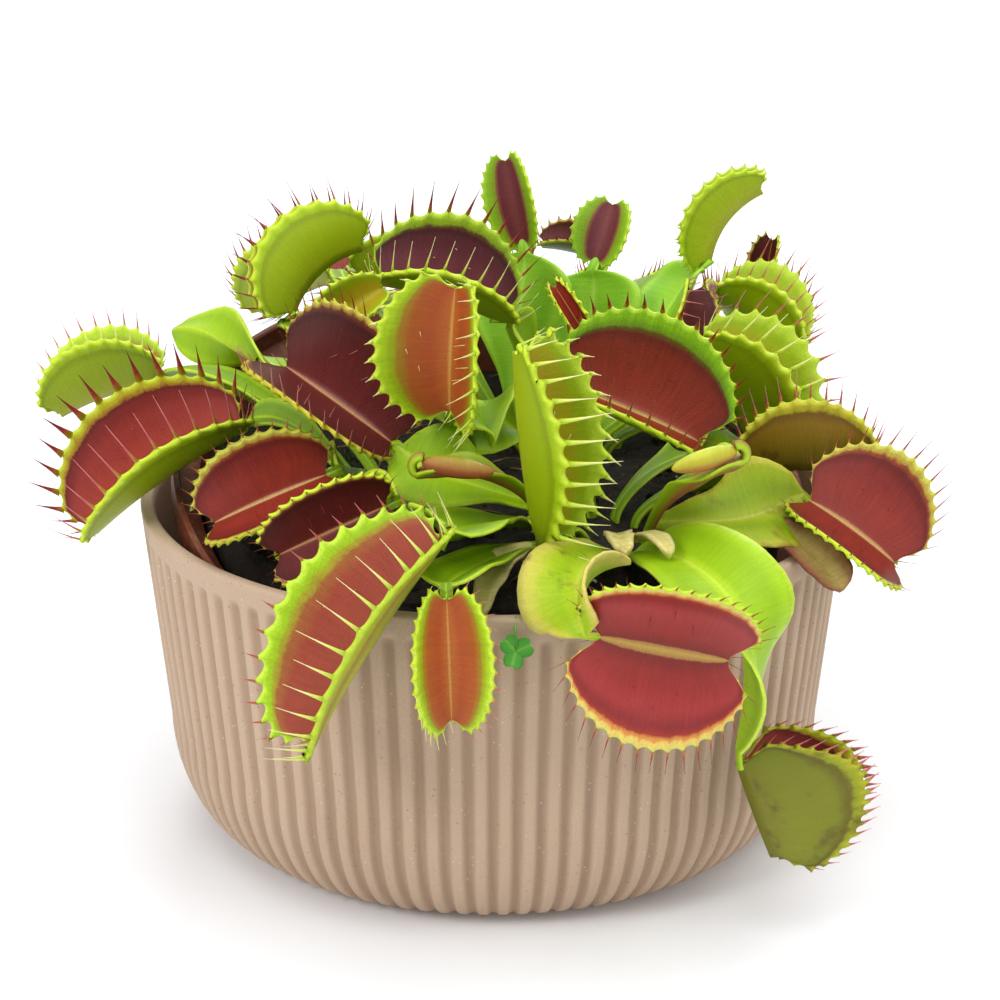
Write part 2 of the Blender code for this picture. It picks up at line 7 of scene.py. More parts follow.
import logging
import math
import random
from dataclasses import dataclass, field
from enum import Enum
from typing import Callable, Iterable, NamedTuple, Sequence

import bmesh
import bpy
from mathutils import Matrix, Quaternion, Vector, noise


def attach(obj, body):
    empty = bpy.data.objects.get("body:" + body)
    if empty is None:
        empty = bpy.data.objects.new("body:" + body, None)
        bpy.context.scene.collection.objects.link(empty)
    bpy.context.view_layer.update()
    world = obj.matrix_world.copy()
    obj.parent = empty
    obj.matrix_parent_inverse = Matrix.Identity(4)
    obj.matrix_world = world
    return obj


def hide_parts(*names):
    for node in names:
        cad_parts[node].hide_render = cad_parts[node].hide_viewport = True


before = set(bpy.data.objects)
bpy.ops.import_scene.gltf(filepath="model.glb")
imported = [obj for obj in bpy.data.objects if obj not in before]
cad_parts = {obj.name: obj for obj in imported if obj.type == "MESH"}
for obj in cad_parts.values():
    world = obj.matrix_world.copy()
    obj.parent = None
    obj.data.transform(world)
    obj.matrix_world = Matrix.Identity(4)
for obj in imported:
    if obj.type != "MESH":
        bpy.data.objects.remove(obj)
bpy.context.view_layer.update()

LOG = logging.getLogger("flytrap")
MM = 0.001
BODY = "root"
SEED = 7

Colour = tuple[float, float, float, float]
Point = tuple[float, float, float]


# ---------------------------------------------------------------- small helpers


def smooth(value: float) -> float:
    """Ease from 0 to 1."""
    value = min(1.0, max(0.0, value))
    return value * value * (3 - 2 * value)


def shade(code: str) -> Colour:
    """Linear colour of a six-digit screen colour."""
    parts = [int(code[i : i + 2], 16) / 255 for i in (0, 2, 4)]
    linear = [c / 12.92 if c <= 0.04045 else ((c + 0.055) / 1.055) ** 2.4 for c in parts]
    return (linear[0], linear[1], linear[2], 1.0)


def gradient(stops: str) -> list[tuple[float, Colour]]:
    """Places from 0 to 1 and colours, from a text of screen colours each with its place in hundredths."""
    pairs = (stop.split() for stop in stops.split(","))
    return [(float(place) / 100, shade(code)) for code, place in pairs]


def curve_point(points: Sequence[Vector], t: float) -> Vector:
    """A point of the cubic curve through its two end points."""
    a, b, c, d = points
    s = 1 - t
    return a * s**3 + b * 3 * s * s * t + c * 3 * s * t * t + d * t**3


def curve_heading(points: Sequence[Vector], t: float) -> Vector:
    """Unit vector along the cubic curve at t."""
    return (curve_point(points, min(1, t + 0.01)) - curve_point(points, max(0, t - 0.01))).normalized()


def verts_of(items: Iterable[object]) -> list[bmesh.types.BMVert]:
    """The vertices among the parts that an operator made."""
    return [item for item in items if isinstance(item, bmesh.types.BMVert)]


def rod(bm: bmesh.types.BMesh, sides: int, rings: int) -> tuple[list[list[bmesh.types.BMVert]], list]:
    """Join rings of unit radius, still in one place, from a capped circle to an open last one.

    Args:
        bm: mesh that takes them.
        sides: corners of a ring.
        rings: how many rings follow the first.

    Returns:
        The vertices of each ring, and the edges of the last.
    """
    ring = bmesh.ops.create_circle(bm, cap_ends=True, segments=sides, radius=1.0)["verts"]
    edges = list({edge for vert in ring for edge in vert.link_edges})
    levels = [ring]
    for _ in range(rings):
        grown = bmesh.ops.extrude_edge_only(bm, edges=edges)["geom"]
        edges = [item for item in grown if isinstance(item, bmesh.types.BMEdge)]
        levels.append(verts_of(grown))
    return levels, edges


def doubled(bm: bmesh.types.BMesh) -> list[tuple[bmesh.types.BMVert, bmesh.types.BMVert]]:
    """Close a sheet with a copy of itself, and pair each new vertex with the one it came from."""
    originals = {tuple(round(c, 5) for c in vert.co): vert for vert in bm.verts}
    grown = bmesh.ops.extrude_face_region(bm, geom=bm.faces[:], use_keep_orig=True)["geom"]
    return [(copy, originals[tuple(round(c, 5) for c in copy.co)]) for copy in verts_of(grown)]


def finish_faces(bm: bmesh.types.BMesh) -> None:
    """Shade every face smooth and turn it outwards."""
    for face in bm.faces:
        face.smooth = True
    bmesh.ops.recalc_face_normals(bm, faces=bm.faces)


def add_piece(name: str, bm: bmesh.types.BMesh, finishes: Sequence[bpy.types.Material], slot: str,
              *nodes: str, smooth_all: bool = False) -> bpy.types.Object:
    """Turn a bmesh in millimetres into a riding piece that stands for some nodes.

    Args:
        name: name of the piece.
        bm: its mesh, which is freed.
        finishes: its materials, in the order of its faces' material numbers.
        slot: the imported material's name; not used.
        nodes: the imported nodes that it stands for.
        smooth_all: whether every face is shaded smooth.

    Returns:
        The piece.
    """
    bmesh.ops.scale(bm, vec=(MM, MM, MM), verts=bm.verts)
    mesh = bpy.data.meshes.new(name)
    bm.to_mesh(mesh)
    bm.free()
    if smooth_all:
        mesh.shade_smooth()
    for finish in finishes:
        mesh.materials.append(finish)
    obj = bpy.data.objects.new(name, mesh)
    bpy.context.scene.collection.objects.link(obj)
    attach(obj, BODY)
    if nodes:
        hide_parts(*nodes)
    return obj


# ---------------------------------------------------------------- node materials


class Graph:
    """Wires the nodes of one material."""

    def __init__(self, name: str) -> None:
        """Start a material with its Principled shader."""
        self.material = bpy.data.materials.new(name)
        self.material.use_nodes = True
        self.tree = self.material.node_tree
        self.shader = self.tree.nodes["Principled BSDF"]

    def node(self, kind: str, inputs: dict | None = None, **settings: object) -> bpy.types.Node:
        """Add a node.

        Args:
            kind: Blender's name of the node type.
            inputs: socket name or number to a value or to another node's output.
            settings: properties of the node itself.

        Returns:
            The new node.
        """
        made = self.tree.nodes.new(kind)
        for key, value in settings.items():
            setattr(made, key, value)
        for key, value in (inputs or {}).items():
            self.feed(made.inputs[key], value)
        return made

    def feed(self, socket: bpy.types.NodeSocket, value: object) -> None:
        """Link an output to a socket, or set the socket's own value."""
        if isinstance(value, bpy.types.NodeSocket):
            self.tree.links.new(value, socket)
        else:
            socket.default_value = value

    def attribute(self, name: str) -> bpy.types.NodeSocket:
        """The value of a mesh attribute."""
        return self.node("ShaderNodeAttribute", attribute_name=name).outputs["Fac"]

    def place(self, scale: Point = (1, 1, 1), uv: bool = False) -> bpy.types.NodeSocket:
        """Scaled coordinates of a point, on the object or on its own map."""
        if uv:
            source = self.node("ShaderNodeUVMap", uv_map="grain").outputs["UV"]
        else:
            source = self.node("ShaderNodeTexCoord").outputs["Object"]
        return self.node("ShaderNodeMapping", {"Vector": source, "Scale": scale}).outputs["Vector"]

    def noise(self, vector: object, scale: float, detail: float = 2.0,
              rough: float = 0.5) -> bpy.types.NodeSocket:
        """Cloudy noise from 0 to 1."""
        inputs = {"Vector": vector, "Scale": scale, "Detail": detail, "Roughness": rough}
        return self.node("ShaderNodeTexNoise", inputs).outputs[0]

    def maths(self, operation: str, a: object, b: object) -> bpy.types.NodeSocket:
        """One step of arithmetic."""
        return self.node("ShaderNodeMath", {0: a, 1: b}, operation=operation).outputs[0]

    def blend(self, a: object, share_a: float, b: object, share_b: float) -> bpy.types.NodeSocket:
        """A weighted sum of two values."""
        return self.maths("ADD", self.maths("MULTIPLY", a, share_a), self.maths("MULTIPLY", b, share_b))

    def spread(self, value: object, low: float, high: float, to_low: float = 0.0,
               to_high: float = 1.0) -> bpy.types.NodeSocket:
        """Map a value from one range to another, held at the ends."""
        inputs = {"Value": value, "From Min": low, "From Max": high, "To Min": to_low, "To Max": to_high}
        return self.node("ShaderNodeMapRange", inputs, clamp=True).outputs["Result"]

    def ramp(self, value: object, stops: str, mode: str = "EASE") -> bpy.types.NodeSocket:
        """Colour along a gradient."""
        made = self.node("ShaderNodeValToRGB", {"Fac": value})
        made.color_ramp.interpolation = mode
        elements, places = made.color_ramp.elements, gradient(stops)
        while len(elements) < len(places):
            elements.new(0.5)
        for element, (place, colour) in zip(elements, places):
            element.position = place
            element.color = colour
        return made.outputs["Color"]

    def mix(self, share: object, a: object, b: object, blend: str = "MIX") -> bpy.types.NodeSocket:
        """Mix two colours."""
        made = self.node("ShaderNodeMix", data_type="RGBA", blend_type=blend)
        for index, value in ((0, share), (6, a), (7, b)):
            self.feed(made.inputs[index], value)
        return made.outputs[2]

    def bump(self, height: object, strength: float, distance: float) -> None:
        """Raise the surface by a height that runs from 0 to 1."""
        inputs = {"Height": height, "Strength": strength, "Distance": distance * MM}
        self.feed(self.shader.inputs["Normal"], self.node("ShaderNodeBump", inputs).outputs["Normal"])

    def finish(self, colour: object, roughness: object, **constants: float) -> bpy.types.Material:
        """Feed the shader and set its constant sockets.

        Args:
            colour: base colour, linked or plain.
            roughness: roughness, linked or plain.
            constants: socket name, with _ for a space, to its value.

        Returns:
            The finished material.
        """
        self.feed(self.shader.inputs["Base Color"], colour)
        self.feed(self.shader.inputs["Roughness"], roughness)
        for key, value in constants.items():
            self.shader.inputs[key.replace("_", " ")].default_value = value
        return self.material


@dataclass(frozen=True)
class Skin:
    """A leaf's skin: colour by how far a point is from the midrib, with streaks and blotches.

    The mesh carries reach, 0 on the midrib and 1 on the edge, and a map in millimetres.
    """

    name: str
    stops: str
    streak: float = 0.25  # contrast of the fine streaks that run to the edge
    wander: float = 0.05  # how far a colour border strays
    blotch: str = "6a1a18"
    blotch_share: float = 0.0
    roughness: float = 0.42
    relief: float = 0.25
    glow: float = 0.0  # light that passes through
    lustre: float = 0.0  # pale satin sheen
    density: float = 1.08  # share of the listed colours' brightness

    def material(self) -> bpy.types.Material:
        """Build the material, or find it if it is there already."""
        found = bpy.data.materials.get(self.name)
        if found:
            return found
        graph = Graph(self.name)
        map_point = graph.place(uv=True)
        clouds = graph.noise(map_point, 0.35, 2)
        nibbles = graph.noise(map_point, 1.6, 2)
        strayed = graph.blend(clouds, 0.6, nibbles, 0.4)
        strayed = graph.maths("MULTIPLY", graph.maths("SUBTRACT", strayed, 0.5), 2.4 * self.wander)
        reach = graph.attribute("reach")
        inner = graph.spread(reach, 0.02, 0.12)
        colour = graph.ramp(graph.maths("ADD", reach, graph.maths("MULTIPLY", strayed, inner)), self.stops)
        streaks = graph.noise(graph.place((1.5, 0.12, 1), uv=True), 1.0, 3, 0.6)
        fine = graph.noise(map_point, 3.6, 3, 0.7)
        weave = graph.blend(streaks, 0.42, fine, 0.58)
        low, high = self.density * (1.0 - self.streak), self.density * (1.0 + 0.5 * self.streak)
        dark = graph.spread(weave, 0.36, 0.64, low, high)
        grey = graph.node("ShaderNodeCombineColor", {0: dark, 1: dark, 2: dark}).outputs[0]
        colour = graph.mix(1.0, colour, grey, "MULTIPLY")
        if self.blotch_share:
            patches = graph.noise(graph.place(), 160, 4, 0.6)
            amount = graph.spread(patches, 0.62 - 0.25 * self.blotch_share, 0.72, 0.0, 0.85)
            colour = graph.mix(amount, colour, shade(self.blotch))
        graph.bump(graph.blend(streaks, 0.6, fine, 0.8), 0.6, self.relief)
        rough = graph.spread(fine, 0.3, 0.7, self.roughness - 0.08, self.roughness + 0.1)
        return graph.finish(
            colour,
            rough,
            Subsurface_Weight=self.glow,
            Subsurface_Radius=(1.0, 0.8, 0.15),
            Subsurface_Scale=0.6 * MM,
            Specular_IOR_Level=0.32,
            Coat_Weight=0.05 + 0.3 * self.lustre,
            Coat_Roughness=0.3,
        )


class Inside(Enum):
    """How the inside of a trap is coloured."""

    RED = Skin(
        "trap_inside_red",
        "d8b478 0, c89a58 2.2, 9c3420 4.5, a03422 30, 963028 60,"
        " 7c2018 80, 681810 86.5, a07a18 90, b4b014 94, c4d41c 100",
        streak=0.2, glow=0.12, lustre=0.5,
    )
    BRICK = Skin(
        "trap_inside_brick",
        "c4a858 0, a87c3c 2, 94341c 4.2, 8a280e 22, 7c220a 60,"
        " 68180a 74, 5c4608 78.5, 6c9808 84, 86bc0c 93, b0d82c 100",
        streak=0.35, wander=0.03, glow=0.12, lustre=0.3,
    )
    MAROON = Skin(
        "trap_inside_maroon",
        "cc9c60 0, ac6c4c 2.2, 702420 4.5, 66201e 40, 581814 70,"
        " 460e0c 86, 6c2c14 92, a88428 95.5, c4b040 100",
        streak=0.32, glow=0.1, lustre=0.4,
    )
    ROSE = Skin(
        "trap_inside_rose",
        "d0a868 0, b88850 2.2, 8c2a1c 5, 8e2a1c 35, 80221a 65,"
        " 681410 83, 8a3c18 88, b8a038 93, cccc50 100",
        streak=0.3, glow=0.12, lustre=0.4,
    )
    GOLDEN = Skin(
        "trap_inside_golden",
        "b8963c 0, a87c38 5, 7e1e14 7.5, 942620 30, 9e2c2a 60,"
        " 861c1c 80, 96240f 86, cc8438 90.5, dcc05c 95, d8d06c 100",
        streak=0.22, wander=0.045, glow=0.1, lustre=1.0, density=1.1,
    )
    ORANGE = Skin(
        "trap_inside_orange",
        "c89440 0, b46020 5, a84c1c 30, a85418 55, a07814 70, 98ac08 79, a8cc10 90, d0e83c 100",
        streak=0.2, wander=0.06, glow=0.2, lustre=0.2,
    )
    FLAME = Skin(
        "trap_inside_flame",
        "b8b048 0, a87830 3.5, 9a4028 7, a04430 55, a46030 74, a8a028 82, a0cc14 89, c8ec3c 100",
        streak=0.22, wander=0.07, glow=0.2, lustre=0.3,
    )
    PALE = Skin(
        "trap_inside_pale",
        "c4b830 0, b8a41c 30, aca812 60, 9cb80c 78, c8e440 100",
        streak=0.12, density=1.0, wander=0.1, glow=0.25, lustre=0.2,
    )
    PURPLE = Skin(
        "trap_inside_purple",
        "8c4a3c 0, 702a34 3.5, 682630 35, 541a22 70, 400e14 80, 583014 84, 84a40c 89, b8d834 100",
        streak=0.3, glow=0.1, lustre=0.3,
    )
    TIPPED = Skin(
        "trap_inside_tipped",
        "7c3438 0, 6c2430 40, 86542c 50, 88981c 58, 88b814 80, acd428 100",
        streak=0.15, density=1.0, wander=0.03, glow=0.2,
    )


class Outside(Enum):
    """How the outside of a trap is coloured."""

    LIME = Skin(
        "trap_outside_lime",
        "b4bc18 0, a4b808 30, 9cb406 70, 8ca004 83, a4c40c 89, cce430 100",
        streak=0.08, density=1.0, wander=0.04, glow=0.25, lustre=0.2,
    )
    OLIVE = Skin(
        "trap_outside_olive",
        "84841c 0, 888c14 30, 808610 70, 6c640c 85, 9ca414 91, bcbc24 100",
        streak=0.08, density=0.95, wander=0.05, blotch="5c4a14", blotch_share=0.2, glow=0.15, lustre=0.2,
    )
    BROWNISH = Skin(
        "trap_outside_brownish",
        "7c680c 0, 88700c 30, 8c6c0c 70, 78540c 85, b0a81c 91, ccc430 100",
        streak=0.1, density=0.95, wander=0.08, blotch="5a2c14", blotch_share=0.2, glow=0.12, lustre=0.2,
    )
    LINED = Skin(
        "trap_outside_lined",
        "9ca810 0, b0bc20 30, b8bc2c 55, ac9c34 68, a08440 74, b8b428 81, b0c814 90, cce438 100",
        streak=0.12, density=0.9, wander=0.06, glow=0.2, lustre=0.2,
    )


class Petiole(Enum):
    """How a stalk or a blade is coloured."""

    FRESH = Skin(
        "stalk_fresh",
        "c0d83c 0, a4c818 5, 84ac08 13, 789f04 60, 98bc10 90, c4e03c 100",
        streak=0.16, wander=0.05, roughness=0.4, glow=0.25, density=1.0,
    )
    BRIGHT = Skin(
        "stalk_bright",
        "d0e84c 0, b8dc20 5, a4cc10 20, 9cc60a 60, b0d818 90, d0ec48 100",
        streak=0.14, wander=0.06, roughness=0.4, glow=0.3, density=1.0,
    )
    YELLOWING = Skin(
        "stalk_yellowing",
        "ccd848 0, b4d020 8, a0c410 30, b0c81c 55, d0cc4c 80, e0d070 100",
        streak=0.14, wander=0.22, blotch="6c4a24", blotch_share=0.16, roughness=0.45, glow=0.2, density=1.0,
    )
    OLIVE = Skin(
        "stalk_olive",
        "c4c450 0, a4b820 5, 8ca80c 40, 9cb010 75, c4bc40 100",
        streak=0.16, wander=0.18, blotch="7c6c20", blotch_share=0.22, roughness=0.4, glow=0.2, density=1.0,
    )
    JADE = Skin(
        "stalk_jade",
        "b8e450 0, 9cd030 8, 88c420 60, b0e040 100",
        streak=0.1, wander=0.08, roughness=0.42, glow=0.25, density=1.0,
    )
    BLUSHED = Skin(
        "stalk_blushed",
        "a8584c 0, a8684c 20, a88c30 40, 8ea418 60, a8c424 100",
        streak=0.12, wander=0.08, roughness=0.38, glow=0.2,
    )
    BEAN_YELLOW = Skin(
        "bean_yellow",
        "b05048 0, b88038 30, b8b030 60, c0c83c 100",
        streak=0.1, wander=0.12, roughness=0.38, glow=0.2,
    )
    BEAN_RUST = Skin(
        "bean_rust",
        "8c3428 0, a05034 40, a87c34 75, a89c38 100",
        streak=0.1, wander=0.12, roughness=0.38, glow=0.2,
    )
    WITHERED = Skin(
        "leaf_withered",
        "d8cc7c 0, d4c878 30, dcd08c 70, c8b878 100",
        streak=0.2, wander=0.2, blotch="8c6c34", blotch_share=0.2, roughness=0.6, relief=0.5, glow=0.2,
        density=1.25,
    )
    DRY = Skin(
        "leaf_dry",
        "a8904c 0, a08848 30, 947040 70, 8c5034 100",
        streak=0.25, wander=0.25, blotch="704028", blotch_share=0.35, roughness=0.5, relief=0.5, glow=0.1,
    )
    CLOVER = Skin(
        "leaf_clover",
        "74b848 0, 4ca42c 30, 3c9424 100",
        streak=0.15, wander=0.05, roughness=0.4, glow=0.15, density=1.0,
    )


class Bristle(Enum):
    """How the spines of a rim are coloured from their root to their tip."""

    DARK = Skin(
        "spine_dark",
        "a4a418 0, a06c1c 12, 8c2420 30, 741820 75, 501014 100",
        streak=0.1, roughness=0.35, glow=0.1,
    )
    FINE = Skin(
        "spine_fine",
        "c8b040 0, b06c34 15, 943034 35, 8c2838 80, 702030 100",
        streak=0.1, roughness=0.35, glow=0.1,
    )
    PINK = Skin(
        "spine_pink",
        "b8b830 0, c08048 14, b85c60 40, cc8084 80, b86870 100",
        streak=0.1, roughness=0.35, glow=0.15,
    )
    BLUSH = Skin(
        "spine_blush",
        "b0a828 0, a86838 20, a04c44 50, 883c38 100",
        streak=0.1, roughness=0.35, glow=0.15,
    )
    CREAM = Skin(
        "spine_cream",
        "b8d830 0, d0dc60 25, e4e498 60, e4d8a0 100",
        streak=0.08, roughness=0.35, glow=0.25,
    )


# ---------------------------------------------------------------- leaves


@dataclass(frozen=True)
class TrapLeaf:
    """One leaf with a trap: where the trap starts and ends, and which way its mouth looks.

    Pairs hold a value for the first lobe, across the mouth from the midrib, and one for the second.
    """

    node: str
    slot: str
    crown: str
    via: Point  # bends the stalk's curve
    base: Point  # start of the trap's midrib
    tip: Point  # end of the trap's midrib
    faces: Point  # out of the mouth
    depth: float  # of a lobe, from midrib to rim
    opening: tuple[float, float]  # of each lobe, away from the mouth's middle
    wing: float = 4.0  # widest half width of the stalk
    inside: Inside = Inside.RED
    outside: Outside = Outside.LIME
    petiole: Petiole = Petiole.FRESH
    bristles: tuple[Bristle, Bristle] = (Bristle.DARK, Bristle.DARK)
    arch: float = 20.0  # turn of the midrib from end to end
    cup: float = 14.0  # half the turn of a lobe from midrib to rim
    fan: float = 1.25  # length of a lobe at its rim, against its midrib
    hook: float = 0.0  # turn of the neck that folds a young trap back
    shows: Point = (0, 0, 1)  # the way the stalk's face looks
    spines: tuple[float, float] = (3.6, 3.6)  # length
    lean: tuple[float, float] = (0.4, 0.4)  # of the spines, towards the mouth
    stout: tuple[float, float] = (0.3, 0.3)  # half width of the spines
    web: float = 0.32  # height of the cusps between the spines, against their gap
    spacing: float = 1.0  # of the spines, against the usual
    shoulder: float = 3.2  # how close to the trap the stalk is widest


@dataclass(frozen=True)
class BladeLeaf:
    """A leaf that has lost its trap, or never had one."""

    node: str
    crown: str
    via: Point
    tip: Point
    shows: Point
    wing: float
    widest: float = 0.6
    petiole: Petiole = Petiole.BRIGHT


@dataclass(frozen=True)
class Scrap:
    """A loose or withered piece of leaf along a curve."""

    name: str
    points: tuple[Point, Point, Point, Point]
    shows: Point
    half: float
    petiole: Petiole = Petiole.WITHERED
    widest: float = 0.5
    wave: float = 0.6


class Station(NamedTuple):
    """A cross-section of a stalk or blade."""

    centre: Vector
    side: Vector
    up: Vector
    share: float  # of the way from the root


class Spot(NamedTuple):
    """Where a spine stands on a rim."""

    place: Vector
    outward: Vector
    tangent: Vector
    normal: Vector
    strength: float
    lobe: int


CROWNS = {"right": (17.0, -22.0), "left": (-19.0, -12.0), "back": (12.0, 18.0)}
DARK, FINE, PINK, BLUSH, CREAM = Bristle.DARK, Bristle.FINE, Bristle.PINK, Bristle.BLUSH, Bristle.CREAM

